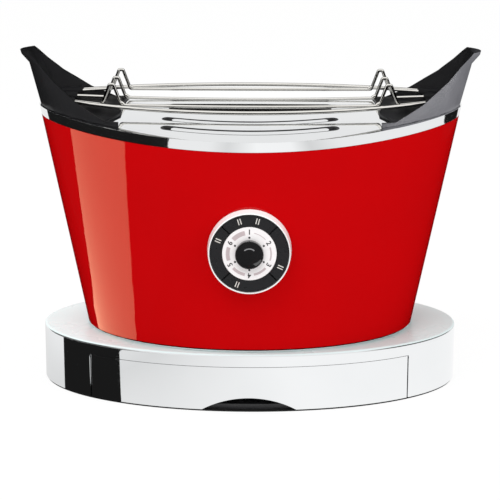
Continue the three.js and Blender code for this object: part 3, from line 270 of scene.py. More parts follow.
def addBlock(name, low, high, corner=0, upright="Z"):
    # a block between two corners in mm, its upright edges rounded
    sizes = [b - a for a, b in zip(low, high)]
    spot = [(a + b) / 2 * mm for a, b in zip(low, high)]
    freshStart()
    bpy.ops.mesh.primitive_cube_add(size=mm, location=(spot[0], spot[1] + middleY, spot[2]))
    bpy.context.object.scale = sizes
    piece = settle(bpy.context.object, name)
    if corner:
        axis = "XYZ".index(upright)
        setMode("EDIT")
        pick(piece, "EDGE",
             lambda edge: abs((edge.verts[0].co - edge.verts[1].co)[axis]) > mm * sizes[axis] / 2)
        bpy.ops.mesh.bevel(offset=corner * mm, segments=meshSettings["cornerSegments"], affect="EDGES")
        setMode("OBJECT")
    return piece


def coat(piece, finish):
    piece.data.materials.clear()
    piece.data.materials.append(finishes[finish])


def coatSome(piece, finish, test):
    # a second finish on the faces that pass the test
    piece.data.materials.append(finishes[finish])
    activate(piece)
    setMode("EDIT")
    pick(piece, "FACE", test)
    piece.active_material_index = 1
    bpy.ops.object.material_slot_assign()
    setMode("OBJECT")


def applyModifier(piece, kind, settings):
    activate(piece)
    bpy.ops.object.modifier_add(type=kind)
    modifier = piece.modifiers[-1]
    for name, value in settings.items():
        setattr(modifier, name, value)
    bpy.ops.object.modifier_apply(modifier=modifier.name)


def combine(piece, tool, operation="DIFFERENCE", finish=None):
    if finish:
        coat(tool, finish)  # the cut faces take it over
    applyModifier(piece, "BOOLEAN", {"operation": operation, "solver": "EXACT", "object": tool,
                                     "material_mode": "TRANSFER" if finish else "INDEX"})
    bpy.data.objects.remove(tool)


def softenEdges(piece, width, angle=40, segments=2):
    applyModifier(piece, "BEVEL", {"width": width * mm, "segments": segments, "limit_method": "ANGLE",
                                   "angle_limit": math.radians(angle), "use_clamp_overlap": True})


def smooth(piece, angle=30):
    activate(piece)
    bpy.ops.object.shade_smooth_by_angle(angle=math.radians(angle))
    applyModifier(piece, "WEIGHTED_NORMAL", {"keep_sharp": True})


def dress(piece, finish, body, slot, *nodes):
    if finish:
        coat(piece, finish)
    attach(piece, body)
    if nodes:
        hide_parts(*nodes)


def tubeThrough(name, points, radius, sides=4):
    # a smooth path of control points, given a round section and made a mesh; a point's fourth value scales it
    freshStart()
    bpy.ops.curve.primitive_nurbs_path_add(location=(0, 0, 0))
    path = bpy.context.object
    path.data.splines.clear()
    spline = path.data.splines.new("NURBS")
    spline.points.add(len(points) - 1)
    for point, (x, y, z, *share) in zip(spline.points, points):
        point.co = (x * mm, y * mm + middleY, z * mm, 1)
        point.radius = share[0] if share else 1
    spline.order_u = meshSettings["pathOrder"]
    spline.use_endpoint_u = True
    spline.resolution_u = meshSettings["pathResolution"]
    path.data.bevel_depth = radius * mm
    path.data.bevel_resolution = sides
    path.data.use_fill_caps = True
    activate(path)
    bpy.ops.object.convert(target="MESH")
    piece = settle(bpy.context.object, name)
    setMode("EDIT")
    tidyMesh()
    smooth(piece, angle=50)
    return piece


# red body, all in mm; its rim follows a wide drum that lies along X
bodyShape = {"lowerZ": 49.4, "lowerWide": 134.8, "lowerDeep": 100.6, "rimZ": 221.7, "rimWide": 170.0,
             "rimDeep": 102.5, "rimRise": 16.5, "wall": 1.5, "rows": 14, "roomAbove": 20, "edge": 0.4,
             "hole": 28.3, "holeReach": 40, "holeSides": 96, "drumSides": 720, "drumLong": 600}
dialHeight = 129.2
archRadius = (bodyShape["rimDeep"] ** 2 + bodyShape["rimRise"] ** 2) / (2 * bodyShape["rimRise"])


def bodyRing(level, inset=0):
    share = (level - bodyShape["lowerZ"]) / (bodyShape["rimZ"] - bodyShape["lowerZ"])
    wide = bodyShape["lowerWide"] + (bodyShape["rimWide"] - bodyShape["lowerWide"]) * share
    deep = bodyShape["lowerDeep"] + (bodyShape["rimDeep"] - bodyShape["lowerDeep"]) * share
    return (wide - inset, deep - inset, level)


def archHeight(depth, lift=0):
    return bodyShape["rimZ"] + lift - archRadius + math.sqrt(archRadius ** 2 - depth ** 2)


def archTool(lift):
    # the drum whose top is the arch of the rim
    freshStart()
    level = bodyShape["rimZ"] + lift - archRadius
    bpy.ops.mesh.primitive_cylinder_add(vertices=bodyShape["drumSides"], radius=archRadius * mm,
                                        depth=bodyShape["drumLong"] * mm, rotation=(0, math.pi / 2, 0),
                                        location=(0, middleY, level * mm))
    return settle(bpy.context.object, "archTool")


def spread(low, high, count):
    return [low + (high - low) * i / count for i in range(count + 1)]


wallFront = -bodyRing(dialHeight)[1]  # the red wall's front at the dial


def facesInward(face):
    middle = face.calc_center_median()
    return face.normal.dot(middle - Vector((0, middleY, middle.z))) < 0


def makeBody(shape):
    levels = spread(shape["lowerZ"], shape["rimZ"] + shape["roomAbove"], shape["rows"])
    rings = [bodyRing(level) for level in levels]
    rings += [bodyRing(level, shape["wall"]) for level in reversed(levels)]
    body = stackRings("bodyPaint", rings, ends="bridge")
    combine(body, archTool(0), "INTERSECT")
    hole = roundRings((shape["hole"], wallFront - shape["holeReach"]),
                      (shape["hole"], wallFront + shape["holeReach"]))
    combine(body, stackRings("holeTool", hole, axis="Y", sides=shape["holeSides"]))
    softenEdges(body, shape["edge"], angle=50)
    smooth(body)
    coat(body, "glossEnamel")
    coatSome(body, "coatedSheet", facesInward)
    dress(body, None, "housing", "red_paint", "body_shell")


makeBody(bodyShape)
print("body made")

# chrome cover with its slots and grooves
coverShape = {"band": 8, "gap": 0.3, "lowZ": 190, "highZ": 245, "rows": 5, "edge": 0.6, "slotHalf": 65,
              "slotNear": 8, "slotFar": 38, "slotCorner": 4, "slotLowZ": 150, "slotHighZ": 260,
              "grooveArc": 142.83, "grooves": (86.6, 67.9), "grooveHalf": 69, "grooveWidth": 9, "grooveDepth": 2.2,
              "grooveSides": 22, "tipTurn": 0.02, "roundSteps": 10, "straightSteps": 16, "barGap": 1.7,
              "barEnd": 8, "barDrop": 0.15}


def grooveTool(shape, middle, side, less=0, shorter=0):
    # a bent bar with round ends, lying in the cover just so deep that the groove gets its width
    radius = shape["grooveArc"] + middle
    half = shape["grooveWidth"] / 2 - less
    thick = (half ** 2 + shape["grooveDepth"] ** 2) / (2 * shape["grooveDepth"])
    reach = shape["grooveHalf"] - shorter + thick - half
    places = [(-math.cos(turn) * thick, math.sin(turn))
              for turn in spread(shape["tipTurn"], math.pi / 2, shape["roundSteps"])]
    places = [(x - reach + thick, share) for x, share in places]
    places += [(x, 1) for x in spread(thick - reach, reach - thick, shape["straightSteps"])[1:-1]]
    places += [(-x, share) for x, share in reversed(places[:shape["roundSteps"] + 1])]
    points = []
    for x, share in places:
        depth = math.sqrt(radius ** 2 - x ** 2) - shape["grooveArc"]
        points.append((x, side * depth, archHeight(depth, shape["band"]) + thick - shape["grooveDepth"], share))
    return tubeThrough("grooveTool", points, thick, shape["grooveSides"])


def makeCover(shape):
    levels = spread(shape["lowZ"], shape["highZ"], shape["rows"])
    cover = stackRings("coverPlate", [bodyRing(level) for level in levels])
    coat(cover, "platedChrome")
    combine(cover, archTool(shape["band"]), "INTERSECT")
    combine(cover, archTool(shape["gap"]))
    for side in (-1, 1):
        near, far = sorted((side * shape["slotNear"], side * shape["slotFar"]))
        slotTool = addBlock("slotTool", (-shape["slotHalf"], near, shape["slotLowZ"]),
                            (shape["slotHalf"], far, shape["slotHighZ"]), shape["slotCorner"])
        # the slots' walls take the near-black: painted shade inside the slots
        combine(cover, slotTool, finish="paintedSlotShade")
    softenEdges(cover, shape["edge"], segments=3)
    # the grooves' faces take the gloss black: painted shade and dark reflection along their edges and ends
    for side in (-1, 1):
        for middle in shape["grooves"]:
            combine(cover, grooveTool(shape, middle, side), finish="glossAbsAndGrooveShade")
    smooth(cover)
    dress(cover, None, "housing", "chrome", "top_cover")


def makeGrooveBars(shape):
    # a bright strip lies in each groove and stops short of its ends; the groove and the strip's sides are black,
    # which is painted shade and dark reflection, and the strip's chrome top gives the groove's bright middle
    for side, word in ((-1, "Front"), (1, "Rear")):
        for number, middle in enumerate(shape["grooves"]):
            bar = grooveTool(shape, middle, side, shape["barGap"], shape["barEnd"])
            coat(bar, "glossAbsAndGrooveShade")
            combine(bar, archTool(shape["band"] - shape["barDrop"]), "INTERSECT", "platedChrome")
            settle(bar, "grooveBar" + word + str(number + 1))
            smooth(bar)
            dress(bar, None, "housing", "chrome")


makeCover(coverShape)
makeGrooveBars(coverShape)
print("cover made")

# chrome base and the drawer front in it
baseShape = {"wide": 171.4, "deep": 106.5, "lowZ": 1.6, "topZ": 47, "round": 2.2, "roundSteps": 6, "wall": 2,
             "wallRows": 4, "edge": 0.35, "wellWide": 117.8, "wellDeep": 83.6, "bayHalf": 127.3, "bayTop": 36.8,
             "bayRound": 1.2, "gland": 7.3, "glandX": 70, "glandZ": 20, "glandFrontY": 60, "glandRearY": 130,
             "glandSides": 48, "paleRise": 0.4, "trimLow": 0.15, "trimGap": 0.1, "trimInset": 0.9, "trimWide": 3,
             "trimEdge": 0.2}
drawerShape = {"half": 126.7, "topZ": 36.5, "wall": 3, "rows": 4, "edge": 0.3, "endRound": 0.6, "notchHalf": 37,
               "notchHigh": 10, "notchFrontY": -150, "notchRearY": -50, "notchSides": 256}
# the block that both the base's bay and the drawer front are cut with, past the wall on all sides
frontBlock = {"frontY": -140, "rearY": -40, "lowZ": -20, "highZ": 60}
# which edges count as ends of the front wall, and how they are rounded
endSettings = {"behindFront": 0.3, "near": 0.05, "shortest": 1, "segments": 5}


def baseRing(level, inset=0):
    return (baseShape["wide"] - inset, baseShape["deep"] - inset, level)


def frontTool(name, half, high):
    return addBlock(name, (-half, frontBlock["frontY"], frontBlock["lowZ"]), (half, frontBlock["rearY"], high))


def roundEnds(piece, half, width):
    # rounds the outer upright edges of the front wall at both sides of the drawer's gap
    ends = endSettings
    depth = (baseShape["deep"] * math.sqrt(1 - (half / baseShape["wide"]) ** 2) - ends["behindFront"]) * mm

    def isEnd(edge):
        first, second = edge.verts
        atEnd = all(abs(abs(v.co.x) - half * mm) < ends["near"] * mm and v.co.y - middleY < -depth
                    for v in edge.verts)
        return atEnd and abs(first.co.z - second.co.z) > ends["shortest"] * mm

    activate(piece)
    setMode("EDIT")
    pick(piece, "EDGE", isEnd)
    bpy.ops.mesh.bevel(offset=width * mm, segments=ends["segments"], affect="EDGES")
    setMode("OBJECT")


def makeBase(shape):
    shoulder = shape["topZ"] - shape["round"]
    rings = [baseRing(level) for level in spread(shape["lowZ"], shoulder, shape["wallRows"])]
    for step in range(1, shape["roundSteps"] + 1):
        angle = step / shape["roundSteps"] * math.pi / 2
        rings.append(baseRing(shape["topZ"] - shape["round"] * (1 - math.sin(angle)),
                              shape["round"] * (1 - math.cos(angle))))
    under = shape["topZ"] - shape["wall"]
    rings += [(shape["wellWide"], shape["wellDeep"], shape["topZ"]), (shape["wellWide"], shape["wellDeep"], under),
              baseRing(under, shape["wall"]), baseRing(shape["lowZ"], shape["wall"])]
    base = stackRings("baseChrome", rings, ends="bridge")
    combine(base, frontTool("bayTool", shape["bayHalf"], shape["bayTop"]))
    gland = roundRings((shape["gland"], shape["glandFrontY"]), (shape["gland"], shape["glandRearY"]))
    combine(base, stackRings("glandTool", gland, axis="Y", sides=shape["glandSides"],
                             centre=Vector((shape["glandX"] * mm, middleY, shape["glandZ"] * mm))))
    roundEnds(base, shape["bayHalf"], shape["bayRound"])
    softenEdges(base, shape["edge"], angle=50)
    smooth(base)
    coat(base, "platedChrome")
    # the top faces take the satin plate, whose cyan tint offsets the paint's red light
    coatSome(base, "satinPlate", lambda face: face.normal.z > shape["paleRise"]
             and face.calc_center_median().z > shoulder * mm)
    dress(base, None, "housing", "chrome", "base_shell")


def makeFootShadeTrim(shape):
    # the black foot line under the wall: a ring that stands for the plinth and, in part, for the shadow under it,
    # which is painted shade
    low, high = shape["trimLow"], shape["lowZ"] - shape["trimGap"]
    outer, inner = shape["trimInset"], shape["trimInset"] + shape["trimWide"]
    rings = [baseRing(low, outer), baseRing(high, outer), baseRing(high, inner), baseRing(low, inner)]
    trim = stackRings("footShadeTrim", rings, ends="bridge")
    softenEdges(trim, shape["trimEdge"])
    smooth(trim)
    dress(trim, "siliconeRubber", "housing", "rubber")


def makeDrawer(shape):
    levels = spread(baseShape["lowZ"], shape["topZ"], shape["rows"])
    rings = [baseRing(level) for level in levels]
    rings += [baseRing(level, shape["wall"]) for level in reversed(levels)]
    drawer = stackRings("drawerFront", rings, ends="bridge")
    combine(drawer, frontTool("frontTool", shape["half"], frontBlock["highZ"]), "INTERSECT")
    radius = (shape["notchHalf"] ** 2 + shape["notchHigh"] ** 2) / (2 * shape["notchHigh"])
    level = baseShape["lowZ"] + shape["notchHigh"] - radius
    notch = roundRings((radius, shape["notchFrontY"]), (radius, shape["notchRearY"]))
    combine(drawer, stackRings("notchTool", notch, axis="Y", sides=shape["notchSides"],
                               centre=Vector((0, middleY, level * mm))))
    roundEnds(drawer, shape["half"], shape["endRound"])
    softenEdges(drawer, shape["edge"], angle=50)
    smooth(drawer)
    dress(drawer, "platedChrome", "tray", "chrome", "tray_front")


makeBase(baseShape)
makeFootShadeTrim(baseShape)
makeDrawer(drawerShape)
print("base and drawer made")

# warming rack
rackShape = {"endX": 141, "endZ": 235, "sag": 1.5, "rodRadius": 1.6, "rodSteps": 24, "wireRadius": 1.3,
             "arcRadius": 228.83, "arcMiddle": 86, "peakX": 109, "peakHalf": 7.6, "peakHigh": 16, "apexHalf": 1.6,
             "bend": 3, "bendShare": 2.2, "ahead": 30, "straightX": (80, 60, 40, 20), "wireEndY": 32,
             "wirePeakY": 47.6, "wireMiddleY": 53, "middleSag": 1.4, "socket": 6}


def sagAt(x):
    return rackShape["endZ"] - rackShape["sag"] * (1 - (x / rackShape["endX"]) ** 2)


def makeRod(name, side, node):
    rack = rackShape
    points = []
    for x in spread(-rack["endX"], rack["endX"], rack["rodSteps"]):
        points.append((x, side * (math.sqrt(rack["arcRadius"] ** 2 - x ** 2) - rack["arcRadius"]
                                  + rack["arcMiddle"]), sagAt(x)))
    heading = math.asin(rack["endX"] / rack["arcRadius"])
    first = points[-1]
    end = (first[0] + rack["socket"] * math.cos(heading), first[1] - side * rack["socket"] * math.sin(heading),
           first[2])
    points = [(-end[0], end[1], end[2])] + points + [end]
    rod = tubeThrough(name, points, rack["rodRadius"])
    dress(rod, "polishedWire", "housing", "chrome", node)


def makeWire(name, side, node):
    rack = rackShape
    foot = rack["peakX"] + rack["peakHalf"]
    inner = rack["peakX"] - rack["peakHalf"]

    def planY(x):
        return side * (rack["wireMiddleY"] - (rack["wireMiddleY"] - rack["wirePeakY"]) * (x / foot) ** 2)

    def corner(x, rise):
        deeper = 0 if side else rack["middleSag"] * (1 - (x / rack["endX"]) ** 2)
        return Vector((x, planY(x), sagAt(x) + rise - deeper))

    heading = math.atan2(abs(planY(foot)) - abs(side) * rack["wireEndY"], rack["endX"] - foot) if side else 0
    mouth = Vector((rack["endX"], side * rack["wireEndY"], rack["endZ"]))
    end = mouth + Vector((math.cos(heading), -side * math.sin(heading), 0)) * rack["socket"]
    corners = [end, corner(foot, 0), corner(rack["peakX"] + rack["apexHalf"], rack["peakHigh"]),
               corner(rack["peakX"] - rack["apexHalf"], rack["peakHigh"]), corner(inner, 0)]
    half = [corners[0], mouth]
    for before, here, after in zip(corners, corners[1:], corners[2:] + [corner(inner - rack["ahead"], 0)]):
        # a bend takes less than half of the shorter leg
        bend = min(rack["bend"], (here - before).length / rack["bendShare"],
                   (here - after).length / rack["bendShare"])
        half += [here + (before - here).normalized() * bend, here, here + (after - here).normalized() * bend]
    here = corners[-1]
    half += [here + (corners[-2] - here).normalized() * rack["bend"], here, corner(inner - rack["bend"], 0)]
    half += [corner(x, 0) for x in rack["straightX"]]
    mirrored = [Vector((-p.x, p.y, p.z)) for p in reversed(half)]
    wire = tubeThrough(name, half + [corner(0, 0)] + mirrored, rack["wireRadius"])
    dress(wire, "polishedWire", "housing", "chrome", node)


# side -1 is the front, 0 the middle and 1 the rear
makeRod("rodFront", -1, "rack_rod_front")
makeRod("rodRear", 1, "rack_rod_rear")
makeWire("wireFront", -1, "rack_wire_front")
makeWire("wireMiddle", 0, "rack_wire_middle")
makeWire("wireRear", 1, "rack_wire_rear")
print("rack made")

# dial
dialShape = {"sides": 128, "bezel": 32.6, "bezelTaper": 1, "bezelWall": 2, "bezelStand": 12.6, "bezelSink": 3,
             "bezelSteps": 12, "bezelCrown": 1.6, "wallGap": 0.3, "wallLevels": (60, 200), "ringOuter": 30.15,
             "ringInner": 21.3, "ringFront": 11.2, "ringBack": 8.6, "ringEdge": 0.45, "gap": 0.9,
             "gapTurns": (45, 135), "gapReach": 40, "gapFront": 20, "disc": 20.85, "discFront": 11.8,
             "discBack": 10.3, "discEdge": 0.3, "hole": 3.3, "knob": 10.95, "knobBack": 12.1, "knobSide": 5,
             "knobEdge": 0.8, "knobFullness": 0.8, "knobSteps": 12, "knobTip": 0.4, "knobSides": 96, "dome": 3.6}
# the ring's keys: the body each one rides on, the solid it replaces and where it lies from the dial's middle
keys = {"goStopKey": ("rocker", "go_stop_rocker", (0, 1)), "defrostKey": ("defrost_key", "defrost_button", (1, 0)),
        "bagelKey": ("bagel_key", "bagel_button", (0, -1)), "reheatKey": ("reheat_key", "reheat_button", (-1, 0))}


def makeBezel(shape):
    front = wallFront - shape["bezelStand"]
    behind = wallFront + shape["bezelSink"]
    foot = shape["bezel"]
    outer = foot - shape["bezelTaper"]
    inner = foot - shape["bezelWall"]
    half = (outer - inner) / 2
    rings = [(foot, behind), (foot, wallFront)]
    for step in range(shape["bezelSteps"] + 1):  # the front of the bezel is rounded from side to side
        turn = step / shape["bezelSteps"] * math.pi
        reach = (outer + inner) / 2 + half * math.cos(turn)
        rings.append((reach, front + half * shape["bezelCrown"] * (1 - math.sin(turn))))
    rings.append((inner, behind))
    bezel = stackRings("dialBezel", roundRings(*rings), axis="Y", sides=shape["sides"], ends="bridge")
    combine(bezel, stackRings("wallTool", [bodyRing(level, -shape["wallGap"]) for level in shape["wallLevels"]]))
    smooth(bezel, angle=40)
    dress(bezel, "silverLacquer", "housing", "chrome", "dial_bezel")


def cutGaps(ring, shape):
    for turn in shape["gapTurns"]:
        tool = addBlock("gapTool", (-shape["gapReach"], wallFront - shape["gapFront"], -shape["gap"] / 2),
                        (shape["gapReach"], wallFront, shape["gap"] / 2))
        activate(tool)
        bpy.ops.transform.rotate(value=math.radians(turn), orient_axis="Y", center_override=(0, middleY, 0))
        bpy.ops.transform.translate(value=(0, 0, dialHeight * mm))
        settle(tool, "gapTool")
        combine(ring, tool)


def makeRing(shape):
    outer, inner = shape["ringOuter"], shape["ringInner"]
    front, back = wallFront - shape["ringFront"], wallFront - shape["ringBack"]
    rings = roundRings((outer, back), (outer, front), (inner, front), (inner, back))
    ring = stackRings("ringKeys", rings, axis="Y", sides=shape["sides"], ends="bridge")
    cutGaps(ring, shape)
    softenEdges(ring, shape["ringEdge"], segments=3)
    activate(ring)
    setMode("EDIT")
    bpy.ops.mesh.separate(type="LOOSE")
    setMode("OBJECT")
    for part in list(bpy.context.selected_objects):
        corners = [Vector(corner) for corner in part.bound_box]
        spot = sum(corners, Vector()) / len(corners) - Vector((0, 0, dialHeight * mm))
        name = max(keys, key=lambda key: spot.x * keys[key][2][0] + spot.z * keys[key][2][1])
        body, node, _ = keys[name]
        settle(part, name)
        smooth(part, angle=35)
        dress(part, "satinAbs", body, "black_plastic", node)


def makeDisc(shape):
    front, back = wallFront - shape["discFront"], wallFront - shape["discBack"]
    outer, hole, edge = shape["disc"], shape["hole"], shape["discEdge"]
    rings = roundRings((outer, back), (outer, front + edge), (outer - edge, front), (hole, front), (hole, back))
    disc = stackRings("scaleFace", rings, axis="Y", sides=shape["sides"], ends="bridge")
    smooth(disc)
    dress(disc, "printGround", "housing", "silver", "scale_disc")


def makeKnob(shape):
    back = wallFront - shape["knobBack"]
    side = back - shape["knobSide"]
    radius = shape["knob"]
    rise = shape["dome"] + shape["knobEdge"]
    rings = [(radius, back), (radius, side + shape["knobEdge"])]
    for step in range(1, shape["knobSteps"]):
        angle = step / shape["knobSteps"] * math.pi / 2
        reach = radius * math.cos(angle) ** shape["knobFullness"]
        rings.append((reach, side + shape["knobEdge"] - rise * math.sin(angle)))
    rings.append((shape["knobTip"], side - shape["dome"]))
    knob = stackRings("knobDome", roundRings(*rings), axis="Y", sides=shape["knobSides"], ends="pole")
    smooth(knob)
    dress(knob, "glossAbsAndGrooveShade", "knob", "black_plastic", "browning_knob")


makeBezel(dialShape)
makeRing(dialShape)
makeDisc(dialShape)
makeKnob(dialShape)
print("dial made")

# prints on the dial, in mm and in degrees clockwise from the top
printShape = {"thick": 0.05, "numberSize": 5.4, "numberBold": 0.14, "numberRadius": 16.9, "numberTurn": 60,
              "dotRadius": 12.7, "dotSize": 0.85, "dotSides": 24, "bandRadius": 16.6, "bandHalf": 0.25,
              "bandGrowth": 0.3, "bandStart": 12, "bandEnd": 48, "barLong": 4.6, "barWide": 0.75, "barGap": 1.9,
              "barRadius": 26.0, "barRound": 0.2, "markInner": 5.4, "markOuter": 6.3, "markTurn": 40,
              "markStand": 3.2, "arcSteps": 24, "arcStart": 0.01, "arcWeld": 0.02}
keyBars = {"goBars": (-17, "rocker"), "stopBars": (14, "rocker"), "defrostBars": (114, "defrost_key"),
           "bagelBars": (201, "bagel_key"), "reheatBars": (-67, "reheat_key")}


def roundDial(piece, turn):
    # clockwise round the dial's middle, as seen from the front
    activate(piece)
    piece.matrix_world = (Matrix.Translation((0, 0, dialHeight * mm)) @ Matrix.Rotation(turn, 4, "Y")
                          @ Matrix.Translation((0, 0, -dialHeight * mm)) @ piece.matrix_world)


def addNumber(text, turn, front):
    shape = printShape
    freshStart()
    bpy.ops.object.text_add(location=(0, front * mm + middleY, (dialHeight + shape["numberRadius"]) * mm),
                            rotation=(math.pi / 2, 0, 0))
    number = bpy.context.object
    number.data.body = text
    number.data.size = shape["numberSize"] * mm
    number.data.extrude = shape["thick"] / 2 * mm
    number.data.offset = shape["numberBold"] * mm
    number.data.align_x = "CENTER"
    number.data.align_y = "CENTER"
    activate(number)
    bpy.ops.object.convert(target="MESH")
    number = bpy.context.object
    roundDial(number, turn)
    settle(number, "number" + text)
    dress(number, "darkInk", "housing", "silver")


def addArc(name, inner, outer, start, end, front, finish, body, slot):
    # a narrow radial strip is spun round the dial's middle
    shape = printShape
    freshStart()
    spot = (0, front * mm + middleY, (dialHeight + (inner + outer) / 2) * mm)
    bpy.ops.mesh.primitive_plane_add(size=mm, location=spot, rotation=(math.pi / 2, 0, 0))
    arc = bpy.context.object
    arc.scale = (shape["arcStart"], outer - inner, 1)
    settle(arc, name)
    roundDial(arc, start)
    settle(arc, name)
    setMode("EDIT")
    bpy.ops.mesh.select_mode(type="VERT")
    bpy.ops.mesh.select_all(action="SELECT")
    bpy.ops.mesh.spin(steps=shape["arcSteps"], angle=end - start, center=(0, spot[1], dialHeight * mm),
                      axis=(0, -1, 0))
    bpy.ops.mesh.select_all(action="SELECT")
    bpy.ops.mesh.remove_doubles(threshold=shape["arcWeld"] * mm)
    setMode("OBJECT")
    applyModifier(arc, "SOLIDIFY", {"thickness": shape["thick"] * mm, "offset": 0})
    setMode("EDIT")
    tidyMesh()
    dress(arc, finish, body, slot)


def addDot(name, turn, front):
    shape = printShape
    size, half = shape["dotSize"], shape["thick"] / 2
    spot = Vector((0, middleY, (dialHeight + shape["dotRadius"]) * mm))
    dot = stackRings(name, roundRings((size, front + half), (size, front - half)), axis="Y",
                     sides=shape["dotSides"], centre=spot)
    roundDial(dot, turn)
    settle(dot, name)
    dress(dot, "darkInk", "housing", "silver")


def addBars(name, turn, front, body):
    shape = printShape
    wide, long = shape["barWide"] / 2, shape["barLong"] / 2
    z = dialHeight + shape["barRadius"]
    for side, word in ((-1, "Left"), (1, "Right")):
        x = side * shape["barGap"] / 2
        bar = addBlock(name, (x - wide, front - shape["thick"], z - long),
                       (x + wide, front + shape["thick"] / 2, z + long), shape["barRound"], "Y")
        roundDial(bar, turn)
        settle(bar, name + word)
        dress(bar, "paleInk", body, "black_plastic")


def makePrints(shape):
    front = wallFront - dialShape["discFront"]
    for i in range(6):
        number = str(i + 1)
        turn = math.radians(shape["numberTurn"] * i)
        addNumber(number, turn, front)
        addDot("dot" + number, turn, front)
        half = shape["bandHalf"] + shape["bandGrowth"] * i
        addArc("browningBand" + number, shape["bandRadius"] - half, shape["bandRadius"] + half,
               turn + math.radians(shape["bandStart"]), turn + math.radians(shape["bandEnd"]), front,
               "roseInk", "housing", "silver")
    for name, (degrees, body) in keyBars.items():
        addBars(name, math.radians(degrees), wallFront - dialShape["ringFront"], body)
    knobFront = wallFront - dialShape["knobBack"] - dialShape["knobSide"] - shape["markStand"]
    addArc("knobMark", shape["markInner"], shape["markOuter"], math.radians(-shape["markTurn"]),
           math.radians(shape["markTurn"]), knobFront, "greyInk", "knob", "black_plastic")


makePrints(printShape)
print("prints made")

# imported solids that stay: their finishes by slot, and how their edges are shown
solidLooks = {"chrome": "platedChrome", "red_paint": "glossEnamel", "black_plastic": "mouldedAbs",
              "rubber": "siliconeRubber", "steel": "coatedSheet", "silver": "printGround", "mica": "micaBoard",
              "board": "solderMask"}
solidEdges = {"weld": 0.01, "wingBevel": 0.5, "wingSegments": 2, "wingAngle": 40, "splitAngle": 35}
slotOf = {row["node"]: row["material_slot"] for row in frame["record"]["subparts"]}


def dressSolids(edges):
    for name, node in frame["nodes"].items():
        coat(node, solidLooks[slotOf[name]])
        node.data.shade_smooth()
        weld = node.modifiers.new("weld", "WELD")
        weld.merge_threshold = edges["weld"] * mm
        if name.startswith("wing_"):
            bevel = node.modifiers.new("soften", "BEVEL")
            bevel.width = edges["wingBevel"] * mm
            bevel.segments = edges["wingSegments"]
            bevel.limit_method = "ANGLE"
            bevel.angle_limit = math.radians(edges["wingAngle"])
        split = node.modifiers.new("split", "EDGE_SPLIT")
        split.split_angle = math.radians(edges["splitAngle"])


dressSolids(solidEdges)
print("solids dressed")

# studio: the lamps and the world light the part, a dome and cards are what its gloss mirrors
studio = {"floorSize": 16, "floorColour": "#F6F6F6", "paperShare": 0.12, "paperGlow": 1.03, "worldLight": 0.8,
          "domeRadius": 9, "domeSides": 64, "domeRows": 32,
          # white of the dome from the horizon to overhead, and from its left side to its right
          "domeRise": ((0, 0.9), (0.8, 0.86), (0.94, 0.3), (0.98, 0.12), (1, 0.12)),
          "domeAcross": ((-1, 0.06), (-0.86, 0.06), (-0.66, 1), (0.66, 1), (0.86, 0.06), (1, 0.06)),
          # white of the floor as the gloss sees it, by place in metres from left to right
          "floorAcross": ((-2, 0.9), (-0.3, 0.9), (-0.17, 0.76), (0.05, 1), (0.3, 0.98), (0.42, 0.72), (0.6, 0.9),
                          (2, 0.95))}
redPieces = ["bodyPaint"]
wirePieces = ["rodFront", "rodRear", "wireFront", "wireMiddle", "wireRear"]
blackPieces = ["wing_left", "wing_right", "goStopKey", "defrostKey", "bagelKey", "reheatKey", "knobDome", "footShadeTrim"]
# levels of the flat cards in mm; two lie just clear of the base's top
cardLevels = {"floor": 1, "knob": 3, "foot": 48.2, "strip": 48.4}


def flatCard(level, *spots):
    return [(x, y, cardLevels[level]) for x, y in spots]


def footOval(steps=96):
    return [(baseShape["wide"] * math.cos(turn), baseShape["deep"] * math.sin(turn))
            for turn in spread(0, 2 * math.pi, steps)[:-1]]


cards = {
    # near-black patches of the floor that give the chrome its dark reflections
    "leftFloorCard": {"corners": flatCard("floor", (-95, -81), (-224, -171), (-590, -1010), (-900, -1000),
                                          (-950, 600), (-790, 520), (-306, -10), (-135, -55)),
                      "colour": "#1B1B1B", "glow": 1.0},
    "rightFloorCard": {"corners": flatCard("floor", (720, 270), (640, 800), (860, 900), (900, 200)),
                       "colour": "#1B1B1B", "glow": 1.0},
    # a warm strip at the left of the paint
    "paintStripCard": {"corners": flatCard("strip", (-93, -76), (-133, -90), (-217, -133), (-308, -197),
                                           (-409, -283), (-522, -399), (-620, -510), (-720, -20), (-628, -9),
                                           (-524, 13), (-430, 25), (-331, 26), (-245, 12), (-168, -9),
                                           (-127, -38)),
                       "colour": "#FFCDA6", "glow": 5.4, "pieces": redPieces},
    # keeps the base's pale top out of the paint; clear from below
    "paintFootCard": {"corners": flatCard("foot", *footOval()), "colour": "#000000", "glow": 0.0,
                      "oneSided": True},
    # white from the front to overhead, which leaves the undersides of the wires dark
    "wireTopCard": {"corners": ((-5000, -3000, 900), (5000, -3000, 900), (5000, 3000, 4000), (-5000, 3000, 4000)),
                    "colour": "#FFFFFF", "glow": 1.1, "pieces": wirePieces},
    # the glint low on the knob
    "knobCard": {"corners": flatCard("knob", (40, -260), (200, -240), (220, -130), (60, -150)),
                 "colour": "#FFFFFF", "glow": 2.0, "pieces": ["knobDome"]},
}
